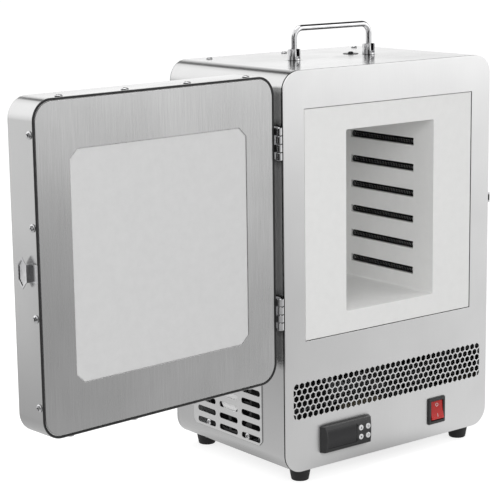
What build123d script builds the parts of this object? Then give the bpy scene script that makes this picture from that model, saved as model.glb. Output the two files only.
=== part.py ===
from build123d import *

import math
import os

# Electric melting furnace with a side-hinged door, as separate pieces in millimetres.
# The origin is on the bench, below the middle of the cabinet. +X is to the right of someone who
# faces the furnace, +Y to its back, +Z up. The door is modelled closed and then swung open.

# Cabinet
BODY_WIDTH = 305.0
BODY_HEIGHT = 437.0
BODY_DEPTH = 202.0
BODY_CORNER = 21.5
FOOT_HEIGHT = 14.0
SHELL_SHEET = 1.2
FRONT_SHEET = 1.5
BACK_SHEET = 1.2
PANEL_SEAM = 0.4
LIP_DEPTH = 9.0
LIP_SHEET = 1.2
FIT_GAP = 0.3

# Chamber and its fibre muffle
CHAMBER_WIDTH = 130.0
CHAMBER_HEIGHT = 200.0
CHAMBER_DEPTH = 152.0
CHAMBER_FLOOR = 183.5
CHAMBER_CORNER = 2.5
LINING_SIDE = 28.5
LINING_HEIGHT = 251.5
LINING_FLOOR = 159.0
LINING_RECESS = 0.5
LINING_GAP = 0.6
LINING_STEP = 14.0
MUFFLE_MARGIN = 7.0
MUFFLE_REAR_WALL = 28.0
SHELF_SHEET = 1.2
SHELF_FLANGE = 14.0
BLANKET_GAP = 0.5

# Heating grooves and coils
GROOVE_COUNT = 6
GROOVE_PITCH = 29.9
GROOVE_HEIGHT = 8.5
GROOVE_DEPTH = 8.5
GROOVE_FRONT = 33.6
GROOVE_LENGTH = 107.6
GROOVE_FIRST = 22.0
COIL_HALF_TURNS = 4
COIL_WIRE = 1.4
COIL_GAP = 0.5
COIL_SIDES = 3
COIL_INSET = 3.0

# Grille of pointed-top hexagons
HOLE_ROWS = 6
HOLE_PITCH = 7.85
HOLE_FLATS = 6.4
GRILLE_SIDE = 11.0
GRILLE_CORNER = 6.5
GRILLE_MIDDLE = 97.6
HOLE_LEAST_AREA = 2.5

# Temperature controller
CONTROL_WIDTH = 72.5
CONTROL_HEIGHT = 29.5
CONTROL_PROUD = 8.0
CONTROL_FROM_LEFT = 84.0
CONTROL_Z = 44.7
CONTROL_MITRE = 4.0
CONTROL_CROWN = 2.2
CONTROL_RIM = 2.4
CONTROL_CASE_DEPTH = 62.0
DISPLAY_WIDTH = 42.0
DISPLAY_HEIGHT = 21.0
DISPLAY_OFFSET = -9.5
DISPLAY_THICK = 1.6
DISPLAY_RECESS = 0.4
KEY_RADIUS = 2.7
KEY_PITCH_X = 10.4
KEY_PITCH_Z = 10.4
KEY_OFFSET = 22.4
KEY_PROUD = 0.9
KEY_TRAVEL = 0.6
KEY_POCKET = 3.2
KEY_GAP = 0.2
KEY_SIDES = 12

# Power rocker switch
SWITCH_WIDTH = 26.5
SWITCH_HEIGHT = 31.0
SWITCH_PROUD = 2.6
SWITCH_FROM_RIGHT = 81.2
SWITCH_Z = 44.7
SWITCH_RIM = 3.6
SWITCH_FLANGE = 1.8
SWITCH_CORNER = 1.0
SWITCH_BODY_DEPTH = 26.0
ROCKER_GAP = 0.3
ROCKER_TILT = 9.0
ROCKER_CROWN = 2.9
ROCKER_DIP = 1.8
ROCKER_BACK = 7.0
ROCKER_PIVOT_DEPTH = 2.0
ROCKER_PIN_RADIUS = 1.2
ROCKER_PIN_LENGTH = 1.2
PIN_CLEARANCE = 0.05

# Door
DOOR_SIDE = 0.3
DOOR_HEIGHT = 328.0
DOOR_DEPTH = 42.1
DOOR_FLOOR = 120.2
DOOR_SHEET = 1.2
DOOR_BEND = 2.4
DOOR_BEND_INSIDE = 1.7
DOOR_PLATE_SHEET = 1.2
DOOR_PLATE_GAP = 1.1
DOOR_CLOSED_GAP = 0.4
DOOR_OPEN_ANGLE = 175.7
PAD_HINGE_SIDE = 39.65
PAD_FREE_SIDE = 41.45
PAD_HEIGHT = 227.8
PAD_FLOOR = 50.0
PAD_CORNER_X = 9.5
PAD_CORNER_Z = 9.0
PAD_RECESS = 0.6
PAD_GAP = 0.4
DOOR_SCREW_INSET = 5.1
DOOR_SCREW_END = 33.3
DOOR_SCREW_SIDE = 34.7
DOOR_SCREWS = 4

# Hinges
HINGE_HEIGHT = 35.0
HINGE_KNUCKLES = 4
HINGE_LOWER = 193.9
HINGE_UPPER = 376.3
HINGE_AXIS_OUT = 4.4
HINGE_AXIS_BACK = 1.6
KNUCKLE_RADIUS = 3.5
KNUCKLE_GAP = 0.25
KNUCKLE_SIDES = 14
HINGE_PIN_RADIUS = 1.7
LEAF_SHEET = 1.5
LEAF_WIDTH = 22.0
KNUCKLE_WEB = 1.0

# Toggle latch
LATCH_HEIGHT = 284.2
LATCH_BASE_WIDTH = 18.0
LATCH_BASE_START = 2.0
LATCH_BASE_LENGTH = 34.0
LATCH_SHEET = 1.2
LATCH_CHEEK = 1.0
LATCH_PIVOT_BACK = 7.5
LATCH_PIVOT_OUT = 5.5
LATCH_EAR_RADIUS = 3.6
LATCH_PIN_RADIUS = 1.1
LATCH_PIN_HEAD = 0.7
LATCH_SIDES = 12
LEVER_HALF_WIDTH = 4.4
LEVER_LENGTH = 30.0
LEVER_PLAY = 0.2
LEVER_TAPER = 0.55
BAIL_WIRE = 2.4
BAIL_PIN_BACK = 7.0
BAIL_PIN_IN = 1.2
BAIL_HALF_WIDTH = 17.6
BAIL_LENGTH = 29.0
BAIL_REST_DROP = 2.5
BAIL_BEND = 3.0
BAIL_SIDES = 8
KEEPER_NECK_WIDTH = 17.2
KEEPER_NECK_LENGTH = 10.0
KEEPER_HORN_HEIGHT = 31.0
KEEPER_HORN_LENGTH = 14.5
KEEPER_HORN_FLAT = 14.6
KEEPER_RISE = 4.7
KEEPER_SHEET = 1.2

# Folding handle
HANDLE_SPAN = 111.0
HANDLE_Y = -2.0
HANDLE_RISE = 35.6
HANDLE_WIRE = 6.6
HANDLE_BEND = 11.0
HANDLE_BEND_STEPS = 6
HANDLE_SIDES = 8
POST_RADIUS = 7.1
POST_HEIGHT = 12.7
POST_SLOT = 7.2
POST_SLOT_FLOOR = 2.2
POST_PIN_HEIGHT = 7.0
POST_PIN_RADIUS = 1.6
POST_SIDES = 12
PIN_INSET = 0.9

# Left vent and fan
VENT_FRONT = 40.7
VENT_WIDTH = 126.0
VENT_FLOOR = 37.2
VENT_HEIGHT = 92.0
VENT_SHEET = 1.2
VENT_CLIP = 5.0
VENT_EDGE = 2.4
SLOT_LENGTH = 31.0
SLOT_HEIGHT = 5.8
SLOT_COLUMNS = 3
SLOT_ROWS = 7
SLOT_PITCH_Y = 40.7
SLOT_PITCH_Z = 13.2
SLOT_FIRST_Y = 60.0
SLOT_FIRST_Z = 43.1
SLOT_CLIP = 0.3
FAN_SIZE = 80.0
FAN_DEPTH = 25.0
FAN_SCREW_SPACING = 71.5
FAN_BORE = 75.0
FAN_CENTRE_BACK = 101.3
FAN_CENTRE_Z = 79.0
FAN_CORNER = 3.0
FAN_SIDES = 24
FAN_HUB_RADIUS = 18.5
FAN_BLADES = 7
FAN_BLADE_RADIUS = 36.0
FAN_BLADE_SHEET = 1.6
FAN_BLADE_TURN = 34.0
FAN_AXLE_RADIUS = 2.0
FAN_STRUT = 5.0
FAN_STRUT_DEPTH = 4.0

# Feet
FOOT_BOTTOM_RADIUS = 9.7
FOOT_TOP_RADIUS = 12.2
FOOT_SIDES = 16
FOOT_SIDE = 31.5
FOOT_FRONT = 15.0
FOOT_BACK = 15.0
FOOT_RECESS_RADIUS = 5.0
FOOT_RECESS = 6.0

# Screws
PAN_RADIUS = 2.8
PAN_HEIGHT = 1.8
HEAD_SIDES = 8
PIN_SIDES = 10
FAN_SCREW_RADIUS = 3.1
TOP_SCREW_SIDE = 43.5
TOP_SCREW_BACK = 17.0

# Things on the bench-side bay and the back
INLET_WIDTH = 27.0
INLET_HEIGHT = 20.0
INLET_FLANGE_WIDTH = 50.0
INLET_FLANGE_HEIGHT = 23.0
INLET_FLANGE = 2.6
INLET_DEPTH = 24.0
INLET_SOCKET_DEPTH = 16.0
INLET_FROM_RIGHT = 60.5
INLET_Z = 50.0
INLET_CORNER = 4.0
INLET_WALL = 1.6
BLADE_SPACING = 7.0
BLADE_SHEET = 2.0
BLADE_LENGTH = 11.0
BACK_SLOT_LENGTH = 44.0
BACK_SLOT_HEIGHT = 4.0
BACK_SLOT_ROWS = 6
BACK_SLOT_PITCH = 9.5
BACK_SLOT_FROM_LEFT = 80.5
BACK_SLOT_FIRST = 50.0
SINK_WIDTH = 60.0
SINK_DEPTH = 50.0
SINK_FINS = 9
SINK_HEIGHT = 30.0
SINK_BASE = 4.0
SINK_FIN = 1.6
SINK_FROM_LEFT = 132.5
SINK_BACK = 132.0
RELAY_WIDTH = 45.0
RELAY_DEPTH = 42.0
RELAY_HEIGHT = 22.0
TERMINAL_LENGTH = 58.0
TERMINAL_WIDTH = 22.0
TERMINAL_HEIGHT = 16.0
TERMINAL_POLES = 5
TERMINAL_BARRIER = 0.8
TERMINAL_GAP = 21.0
TERMINAL_BACK = 120.0
THERMO_RADIUS = 3.0
THERMO_REACH = 18.0
THERMO_X = 0.0
THERMO_DROP = 34.0
THERMO_HEAD_RADIUS = 9.0
THERMO_HEAD = 10.0
LEAD_BLOCK_WIDTH = 44.0
LEAD_BLOCK_HEIGHT = 18.0
LEAD_BLOCK_DEPTH = 10.0
LEAD_BLOCK_RISE = 32.0
PLUG_FROM_RIGHT = 106.0
PLUG_BACK = 120.0
PLUG_RADIUS = 9.0
PLUG_SHEET = 0.8
PLUG_SIDES = 16

# Values worked out from the sizes above
FRONT = -BODY_DEPTH / 2
BACK = BODY_DEPTH / 2
SIDE = BODY_WIDTH / 2
BASE = FOOT_HEIGHT
TOP = FOOT_HEIGHT + BODY_HEIGHT
BODY_MIDDLE = FOOT_HEIGHT + BODY_HEIGHT / 2
CONTROL_X = -SIDE + CONTROL_FROM_LEFT
SWITCH_X = SIDE - SWITCH_FROM_RIGHT
INLET_X = SIDE - INLET_FROM_RIGHT
BACK_SLOT_X = -SIDE + BACK_SLOT_FROM_LEFT
SINK_X = -SIDE + SINK_FROM_LEFT
TERMINAL_X = SINK_X + SINK_WIDTH / 2 + TERMINAL_GAP + TERMINAL_LENGTH / 2
PLUG_X = SIDE - PLUG_FROM_RIGHT
FOOT_X = SIDE - FOOT_SIDE
SHELL_FRONT = FRONT + FRONT_SHEET + PANEL_SEAM
SHELL_BACK = BACK - BACK_SHEET - PANEL_SEAM
CHAMBER_MIDDLE = CHAMBER_FLOOR + CHAMBER_HEIGHT / 2
LINING_WIDTH = BODY_WIDTH - 2 * LINING_SIDE
LINING_MIDDLE = LINING_FLOOR + LINING_HEIGHT / 2
MUFFLE_WIDTH = LINING_WIDTH + 2 * MUFFLE_MARGIN
MUFFLE_HEIGHT = LINING_HEIGHT + 2 * MUFFLE_MARGIN
MUFFLE_FLOOR = LINING_FLOOR - MUFFLE_MARGIN
MUFFLE_BACK = FRONT + CHAMBER_DEPTH + MUFFLE_REAR_WALL
MUFFLE_STEP = FRONT + LINING_STEP
HINGE_X = -SIDE - HINGE_AXIS_OUT
HINGE_Y = FRONT + HINGE_AXIS_BACK
HINGE_LINE = Axis((HINGE_X, HINGE_Y, 0), (0, 0, 1))
DOOR_INNER = FRONT - DOOR_CLOSED_GAP
DOOR_OUTER = DOOR_INNER - DOOR_DEPTH
DOOR_WIDTH = BODY_WIDTH - 2 * DOOR_SIDE
DOOR_X = -SIDE + DOOR_WIDTH / 2
DOOR_EDGE = -SIDE + DOOR_WIDTH
DOOR_MIDDLE = DOOR_FLOOR + DOOR_HEIGHT / 2
PAD_WIDTH = DOOR_WIDTH - PAD_HINGE_SIDE - PAD_FREE_SIDE
PAD_X = -SIDE + PAD_HINGE_SIDE + PAD_WIDTH / 2
PAD_MIDDLE = DOOR_FLOOR + PAD_FLOOR + PAD_HEIGHT / 2
COIL_RADIUS = (GROOVE_HEIGHT - 2 * COIL_GAP - COIL_WIRE) / 2
INNER_FLOOR = BASE + SHELL_SHEET


def upright(y):
    """The XZ plane at a given y: local coordinates are x and z, and its normal is -Y."""
    return Plane(origin=(0, y, 0), x_dir=(1, 0, 0), z_dir=(0, -1, 0))


def sideways(x):
    """The YZ plane at a given x: local coordinates are y and z, and its normal is +X."""
    return Plane(origin=(x, 0, 0), x_dir=(0, 1, 0), z_dir=(1, 0, 0))


def slab(sketch, y, depth):
    """Thickens a sketch of x and z from y towards the back."""
    return extrude(upright(y) * sketch, amount=-depth)


def side_slab(sketch, x, depth):
    """Thickens a sketch of y and z from x to the right."""
    return extrude(sideways(x) * sketch, amount=depth)


def rounded(width, height, radius, x=0.0, z=0.0):
    """A rounded rectangle sketch about a centre."""
    return Pos(x, z) * RectangleRounded(width, height, radius)


def block(x, y, z):
    """A box from three (low, high) pairs."""
    size = (x[1] - x[0], y[1] - y[0], z[1] - z[0])
    middle = ((x[0] + x[1]) / 2, (y[0] + y[1]) / 2, (z[0] + z[1]) / 2)
    return Pos(*middle) * Box(*size)


def rod(start, direction, radius, length):
    """A cylinder from a start point along a direction."""
    plane = Plane(origin=start, z_dir=direction)
    return extrude(plane * Circle(radius), amount=length)


def faceted_rod(start, direction, radius, length, sides=PIN_SIDES):
    """A small round piece as a prism whose corners lie on its radius, to keep the mesh light."""
    plane = Plane(origin=start, z_dir=direction)
    return extrude(plane * RegularPolygon(radius, sides), amount=length)


def faceted_bore(start, direction, radius, length, sides=PIN_SIDES):
    """A cutter for a small bore: a prism whose flats lie on its radius."""
    plane = Plane(origin=start, z_dir=direction)
    return extrude(plane * RegularPolygon(radius, sides, major_radius=False), amount=length)


def slot(length, height, x, z):
    """A slot with clipped ends."""
    outline = Pos(x, z) * Rectangle(length, height)
    return chamfer(outline.vertices(), height * SLOT_CLIP)


def pan_head(seat, direction, radius=PAN_RADIUS, height=PAN_HEIGHT):
    """A pan head that seats at a point and faces a direction. Its shank is left out."""
    return faceted_rod(seat, direction, radius, height, HEAD_SIDES)


def heads(seats, direction, radius=PAN_RADIUS, height=PAN_HEIGHT):
    """One group of alike heads."""
    return Compound([pan_head(seat, direction, radius, height) for seat in seats])


def perforated(outline, holes):
    """A flat face in x and z with an outline and any number of holes."""
    return Face(outline.face().outer_wire(), [hole.face().outer_wire() for hole in holes])


def body_outline(inset=0.0):
    """The cabinet's outline seen from the front, drawn in by an inset."""
    width = BODY_WIDTH - 2 * inset
    height = BODY_HEIGHT - 2 * inset
    return rounded(width, height, BODY_CORNER - inset, 0, BODY_MIDDLE)


def panel_lip(y, depth):
    """The four straight flanges that a front or back panel pushes inside the shell."""
    far_x = SIDE - SHELL_SHEET - FIT_GAP
    far_z = BODY_HEIGHT / 2 - SHELL_SHEET - FIT_GAP
    end_x = SIDE - BODY_CORNER
    end_z = BODY_HEIGHT / 2 - BODY_CORNER
    span = (y, y + depth)
    flanges = []
    for way in (-1, 1):
        x = sorted((way * far_x, way * (far_x - LIP_SHEET)))
        z = sorted((BODY_MIDDLE + way * far_z, BODY_MIDDLE + way * (far_z - LIP_SHEET)))
        flanges.append(block(x, span, (BODY_MIDDLE - end_z, BODY_MIDDLE + end_z)))
        flanges.append(block((-end_x, end_x), span, z))
    return flanges


def outer_shell():
    shell = slab(body_outline() - body_outline(SHELL_SHEET), SHELL_FRONT, SHELL_BACK - SHELL_FRONT)
    window = block(
        (-SIDE - SHELL_SHEET, -SIDE + 2 * SHELL_SHEET),
        (FRONT + VENT_FRONT + VENT_EDGE, FRONT + VENT_FRONT + VENT_WIDTH - VENT_EDGE),
        (VENT_FLOOR + VENT_EDGE, VENT_FLOOR + VENT_HEIGHT - VENT_EDGE),
    )
    return shell - window


def grille_holes():
    """Staggered hexagons. The short rows end in half holes, and the corners are clipped round."""
    row_pitch = HOLE_PITCH * math.sqrt(3) / 2
    hole_height = HOLE_FLATS * 2 / math.sqrt(3)
    columns = int((BODY_WIDTH - 2 * GRILLE_SIDE) / HOLE_PITCH)
    width = columns * HOLE_PITCH
    height = (HOLE_ROWS - 1) * row_pitch + hole_height
    region = rounded(width, height, GRILLE_CORNER, 0, GRILLE_MIDDLE)
    holes = []
    for row in range(HOLE_ROWS):
        z = GRILLE_MIDDLE + ((HOLE_ROWS - 1) / 2 - row) * row_pitch
        count = columns + row % 2
        for column in range(count):
            x = (column - (count - 1) / 2) * HOLE_PITCH
            hole = Pos(x, z) * RegularPolygon(hole_height / 2, 6, rotation=30)
            if column in (0, 1, count - 2, count - 1):
                hole = hole & region
            if hole is not None and hole.area > HOLE_LEAST_AREA:
                holes.append(hole)
    return holes


def front_plate():
    lining = Pos(0, LINING_MIDDLE) * Rectangle(LINING_WIDTH, LINING_HEIGHT)
    control = Pos(CONTROL_X, CONTROL_Z) * Rectangle(
        CONTROL_WIDTH - 2 * CONTROL_RIM + 2 * FIT_GAP, CONTROL_HEIGHT - 2 * CONTROL_RIM + 2 * FIT_GAP
    )
    switch = Pos(SWITCH_X, SWITCH_Z) * Rectangle(
        SWITCH_WIDTH - 2 * SWITCH_FLANGE + 2 * FIT_GAP, SWITCH_HEIGHT - 2 * SWITCH_FLANGE + 2 * FIT_GAP
    )
    face = perforated(body_outline(), [lining, control, switch] + grille_holes())
    plate = extrude(upright(FRONT) * face, amount=FRONT_SHEET, dir=(0, 1, 0))
    frame = Rectangle(LINING_WIDTH + 2 * LIP_SHEET, LINING_HEIGHT + 2 * LIP_SHEET)
    frame -= Rectangle(LINING_WIDTH, LINING_HEIGHT)
    lip_y = FRONT + FRONT_SHEET
    return plate + panel_lip(lip_y, LIP_DEPTH) + slab(Pos(0, LINING_MIDDLE) * frame, lip_y, LIP_DEPTH)


def back_panel():
    plate = slab(body_outline(), BACK - BACK_SHEET, BACK_SHEET)
    slots = []
    for row in range(BACK_SLOT_ROWS):
        z = BACK_SLOT_FIRST + row * BACK_SLOT_PITCH
        slots.append(slot(BACK_SLOT_LENGTH, BACK_SLOT_HEIGHT, BACK_SLOT_X, z))
    inlet = Pos(INLET_X, INLET_Z) * Rectangle(INLET_WIDTH + 2 * FIT_GAP, INLET_HEIGHT + 2 * FIT_GAP)
    plate -= slab(Sketch() + slots + inlet, BACK - 2 * BACK_SHEET, 3 * BACK_SHEET)
    return plate + panel_lip(BACK - BACK_SHEET - LIP_DEPTH, LIP_DEPTH)


def top_screws():
    y = BACK - TOP_SCREW_BACK
    far = SIDE - TOP_SCREW_SIDE
    return heads([(x, y, TOP) for x in (-far, 0, far)], (0, 0, 1))


def chimney_plug():
    """The washer and screw that close the hole in the top."""
    centre = (PLUG_X, FRONT + PLUG_BACK, TOP)
    washer = faceted_rod(centre, (0, 0, 1), PLUG_RADIUS, PLUG_SHEET, PLUG_SIDES)
    return washer + pan_head((centre[0], centre[1], TOP + PLUG_SHEET), (0, 0, 1))


def shelf():
    half = SIDE - SHELL_SHEET - BLANKET_GAP
    back = BACK - BACK_SHEET - LIP_DEPTH - PANEL_SEAM
    depth = (FRONT + FRONT_SHEET + LIP_DEPTH + PANEL_SEAM, back)
    tray = block((-half, half), depth, (MUFFLE_FLOOR - SHELF_SHEET, MUFFLE_FLOOR))
    for edge in ((-half, -half + SHELF_SHEET), (half - SHELF_SHEET, half)):
        tray += block(edge, depth, (MUFFLE_FLOOR - SHELF_FLANGE, MUFFLE_FLOOR))
    return tray


def groove_heights():
    """The middle height of each heating groove."""
    return [CHAMBER_FLOOR + GROOVE_FIRST + row * GROOVE_PITCH for row in range(GROOVE_COUNT)]


def fibre_muffle():
    """The vacuum-formed chamber: a flat face in the front plate's window, and grooved side walls."""
    face = Pos(0, LINING_MIDDLE) * Rectangle(LINING_WIDTH - 2 * LINING_GAP, LINING_HEIGHT - 2 * LINING_GAP)
    main = Pos(0, LINING_MIDDLE) * Rectangle(MUFFLE_WIDTH, MUFFLE_HEIGHT)
    front = FRONT + LINING_RECESS
    muffle = slab(face, front, MUFFLE_STEP - front) + slab(main, MUFFLE_STEP, MUFFLE_BACK - MUFFLE_STEP)
    chamber = rounded(CHAMBER_WIDTH, CHAMBER_HEIGHT, CHAMBER_CORNER, 0, CHAMBER_MIDDLE)
    muffle -= slab(chamber, front - 1, CHAMBER_DEPTH + FRONT - front + 1)
    reach = CHAMBER_WIDTH / 2 + GROOVE_DEPTH
    for z in groove_heights():
        muffle -= block(
            (-reach, reach),
            (FRONT + GROOVE_FRONT, FRONT + GROOVE_FRONT + GROOVE_LENGTH),
            (z - GROOVE_HEIGHT / 2, z + GROOVE_HEIGHT / 2),
        )
    return muffle - faceted_bore(thermo_tip(), (0, 1, 0), THERMO_RADIUS + PIN_CLEARANCE, CHAMBER_DEPTH)


def insulation_blanket():
    """Ceramic wool between the muffle and the shell, over the top and down both sides."""
    outer = body_outline(SHELL_SHEET + BLANKET_GAP)
    outer -= Pos(0, MUFFLE_FLOOR / 2) * Rectangle(BODY_WIDTH, MUFFLE_FLOOR)
    gap = BLANKET_GAP
    inner = Pos(0, LINING_MIDDLE - BODY_HEIGHT / 2 + MUFFLE_HEIGHT / 2 + gap) * Rectangle(
        MUFFLE_WIDTH + 2 * gap, BODY_HEIGHT
    )
    start = FRONT + FRONT_SHEET + LIP_DEPTH + BLANKET_GAP
    return slab(outer - inner, start, MUFFLE_BACK - start)


def biarc(start, start_way, end, end_way):
    """Two arcs that meet smoothly and join two points with given directions."""
    run = end - start
    both = start_way + end_way
    turn = 2 * (1 - start_way.dot(end_way))
    reach = (math.sqrt(run.dot(both) ** 2 + turn * run.dot(run)) - run.dot(both)) / turn
    middle = (start + end + (start_way - end_way) * reach) * 0.5
    first = Edge.make_tangent_arc(start, start_way, middle)
    way = first.tangent_at(1)
    return [first, Edge.make_tangent_arc(middle, way, end)]


def coil_route(x, z):
    """The centre line of one heating coil along its groove. Its ends run on straight."""
    start_y = FRONT + GROOVE_FRONT + COIL_INSET
    end_y = FRONT + GROOVE_FRONT + GROOVE_LENGTH - COIL_INSET
    rise = (end_y - start_y) / (COIL_HALF_TURNS * math.pi)

    def point(angle):
        y = start_y + rise * angle
        return Vector(x + COIL_RADIUS * math.sin(angle), y, z + COIL_RADIUS * math.cos(angle))

    def way(angle):
        slope = Vector(COIL_RADIUS * math.cos(angle), rise, -COIL_RADIUS * math.sin(angle))
        return slope.normalized()

    edges = [Edge.make_line(point(0) - way(0) * COIL_WIRE, point(0))]
    for step in range(COIL_HALF_TURNS):
        low = step * math.pi
        high = low + math.pi
        edges += biarc(point(low), way(low), point(high), way(high))
    last = COIL_HALF_TURNS * math.pi
    edges.append(Edge.make_line(point(last), point(last) + way(last) * COIL_WIRE))
    return edges


def heating_coils(side):
    """The coils in one side wall's grooves. Side is -1 for the left wall and 1 for the right."""
    x = side * (CHAMBER_WIDTH / 2 + GROOVE_DEPTH / 2)
    coils = []
    for z in groove_heights():
        path = Wire(coil_route(x, z))
        start = path @ 0
        section = Plane(origin=start, z_dir=path % 0) * RegularPolygon(COIL_WIRE / 2, COIL_SIDES)
        coils.append(sweep(section, path=path, clean=False))
    return Compound(coils)


def print_coil_gap():
    """The least gap between two turns, measured on points of the centre line."""
    edges = coil_route(0, 0)
    points = [edge @ (step / 8) for edge in edges for step in range(8)]
    apart = 12
    gap = min(
        (points[i] - points[j]).length
        for i in range(len(points))
        for j in range(i + apart, len(points))
    )
    print("least gap between coil turns", round(gap - COIL_WIRE, 2))


def thermo_tip():
    """The end of the thermocouple inside the chamber."""
    z = CHAMBER_FLOOR + CHAMBER_HEIGHT - THERMO_DROP
    return (THERMO_X, FRONT + CHAMBER_DEPTH - THERMO_REACH, z)


def thermocouple():
    tip = thermo_tip()
    sheath = faceted_rod(tip, (0, 1, 0), THERMO_RADIUS, MUFFLE_BACK - tip[1])
    return sheath + faceted_rod((tip[0], MUFFLE_BACK, tip[2]), (0, 1, 0), THERMO_HEAD_RADIUS, THERMO_HEAD)


def lead_block():
    """The ceramic block on the back of the muffle where the coil leads come out."""
    z = MUFFLE_FLOOR + LEAD_BLOCK_RISE
    half = LEAD_BLOCK_WIDTH / 2
    piece = block((-half, half), (MUFFLE_BACK, MUFFLE_BACK + LEAD_BLOCK_DEPTH), (z, z + LEAD_BLOCK_HEIGHT))
    for step in (-1, 1):
        start = (step * half / 2, MUFFLE_BACK, z + LEAD_BLOCK_HEIGHT / 2)
        piece -= faceted_bore(start, (0, 1, 0), THERMO_RADIUS, LEAD_BLOCK_DEPTH)
    return piece


def control_profile(setback=0.0):
    """The controller's crowned front in section, pushed back from the front by a setback."""
    nose = FRONT - CONTROL_PROUD + setback
    low = CONTROL_Z - CONTROL_HEIGHT / 2
    high = CONTROL_Z + CONTROL_HEIGHT / 2
    shoulder = nose + CONTROL_CROWN
    line = Polyline((shoulder, high), (FRONT, high), (FRONT, low), (shoulder, low))
    arc = ThreePointArc((shoulder, low), (nose, CONTROL_Z), (shoulder, high))
    return make_face(line.edges() + arc.edges())


def control_key_places():
    """The x, y, z of each key's middle on the crowned front, left column first."""
    places = []
    for step_x in (-0.5, 0.5):
        for step_z in (0.5, -0.5):
            rise = step_z * KEY_PITCH_Z
            sag = CONTROL_CROWN * (2 * rise / CONTROL_HEIGHT) ** 2
            x = CONTROL_X + KEY_OFFSET + step_x * KEY_PITCH_X
            places.append((x, FRONT - CONTROL_PROUD + sag, CONTROL_Z + rise))
    return places


def display_prism(profile):
    """The part of a long controller section that lies in the display's opening."""
    left = CONTROL_X + DISPLAY_OFFSET - DISPLAY_WIDTH / 2
    bar = side_slab(profile, left, DISPLAY_WIDTH)
    half = DISPLAY_HEIGHT / 2
    limits = block(
        (left, left + DISPLAY_WIDTH),
        (FRONT - 2 * CONTROL_PROUD, FRONT),
        (CONTROL_Z - half, CONTROL_Z + half),
    )
    return bar & limits


def controller_case():
    half = CONTROL_WIDTH / 2
    bezel = side_slab(control_profile(), CONTROL_X - half, CONTROL_WIDTH)
    nose = FRONT - CONTROL_PROUD
    plan = Polyline(
        (CONTROL_X - half, FRONT),
        (CONTROL_X - half + CONTROL_MITRE, nose),
        (CONTROL_X + half - CONTROL_MITRE, nose),
        (CONTROL_X + half, FRONT),
        close=True,
    )
    low = CONTROL_Z - CONTROL_HEIGHT / 2
    bezel &= extrude(Plane.XY.offset(low) * make_face(plan), amount=CONTROL_HEIGHT)
    behind_display = control_profile(DISPLAY_RECESS + DISPLAY_THICK)
    bezel -= display_prism(control_profile()) - display_prism(behind_display)
    for x, y, z in control_key_places():
        depth = KEY_POCKET + CONTROL_CROWN
        bezel -= faceted_bore((x, y - CONTROL_CROWN, z), (0, 1, 0), KEY_RADIUS + KEY_GAP, depth, KEY_SIDES)
    case = Rectangle(CONTROL_WIDTH - 2 * CONTROL_RIM, CONTROL_HEIGHT - 2 * CONTROL_RIM)
    return bezel + slab(Pos(CONTROL_X, CONTROL_Z) * case, FRONT, CONTROL_CASE_DEPTH)


def controller_display():
    front = display_prism(control_profile(DISPLAY_RECESS))
    return front - display_prism(control_profile(DISPLAY_RECESS + DISPLAY_THICK - PIN_CLEARANCE))


def controller_key(place):
    """One round key. Its travel is left free between it and its pocket's floor."""
    x, y, z = place
    length = KEY_PROUD + KEY_POCKET - KEY_TRAVEL - KEY_GAP
    return faceted_rod((x, y - KEY_PROUD, z), (0, 1, 0), KEY_RADIUS, length, KEY_SIDES)


def rocker_radius():
    return SWITCH_HEIGHT / 2 - SWITCH_RIM - ROCKER_GAP


def rocker_half_width():
    return SWITCH_WIDTH / 2 - SWITCH_RIM - ROCKER_GAP


def switch_housing():
    rim = chamfer(Rectangle(SWITCH_WIDTH, SWITCH_HEIGHT).vertices(), SWITCH_CORNER)
    bezel = slab(Pos(SWITCH_X, SWITCH_Z) * rim, FRONT - SWITCH_PROUD, SWITCH_PROUD)
    bezel = chamfer(bezel.faces().sort_by(Axis.Y)[0].edges(), SWITCH_PROUD * 0.4)
    rear = Rectangle(SWITCH_WIDTH - 2 * SWITCH_FLANGE, SWITCH_HEIGHT - 2 * SWITCH_FLANGE)
    housing = bezel + slab(Pos(SWITCH_X, SWITCH_Z) * rear, FRONT, SWITCH_BODY_DEPTH)
    mouth = Rectangle(SWITCH_WIDTH - 2 * SWITCH_RIM, SWITCH_HEIGHT - 2 * SWITCH_RIM)
    depth = SWITCH_PROUD + ROCKER_PIVOT_DEPTH + rocker_radius() + ROCKER_GAP
    housing -= slab(Pos(SWITCH_X, SWITCH_Z) * mouth, FRONT - SWITCH_PROUD, depth)
    reach = rocker_half_width() + ROCKER_PIN_LENGTH
    pin = (SWITCH_X - reach, FRONT + ROCKER_PIVOT_DEPTH, SWITCH_Z)
    return housing - faceted_bore(pin, (1, 0, 0), ROCKER_PIN_RADIUS + PIN_CLEARANCE, 2 * reach)


def switch_rocker():
    """The rocker, drawn level and then tipped so that its top end is pressed in."""
    half = rocker_half_width()
    pivot_y = FRONT + ROCKER_PIVOT_DEPTH
    drum = rod((SWITCH_X - half, pivot_y, SWITCH_Z), (1, 0, 0), rocker_radius(), 2 * half)
    high = SWITCH_Z + SWITCH_HEIGHT
    low = SWITCH_Z - SWITCH_HEIGHT
    slope = (ROCKER_CROWN - ROCKER_DIP) * SWITCH_HEIGHT / rocker_radius()
    section = Polyline(
        (pivot_y + ROCKER_BACK, high),
        (FRONT - ROCKER_DIP - slope, high),
        (FRONT - ROCKER_DIP, SWITCH_Z),
        (FRONT - ROCKER_DIP - slope, low),
        (pivot_y + ROCKER_BACK, low),
        close=True,
    )
    rocker = drum & side_slab(make_face(section), SWITCH_X - half, 2 * half)
    reach = half + ROCKER_PIN_LENGTH - PIN_CLEARANCE
    rocker += faceted_rod((SWITCH_X - reach, pivot_y, SWITCH_Z), (1, 0, 0), ROCKER_PIN_RADIUS, 2 * reach)
    return rocker.rotate(Axis((SWITCH_X, pivot_y, SWITCH_Z), (1, 0, 0)), -ROCKER_TILT)


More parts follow.
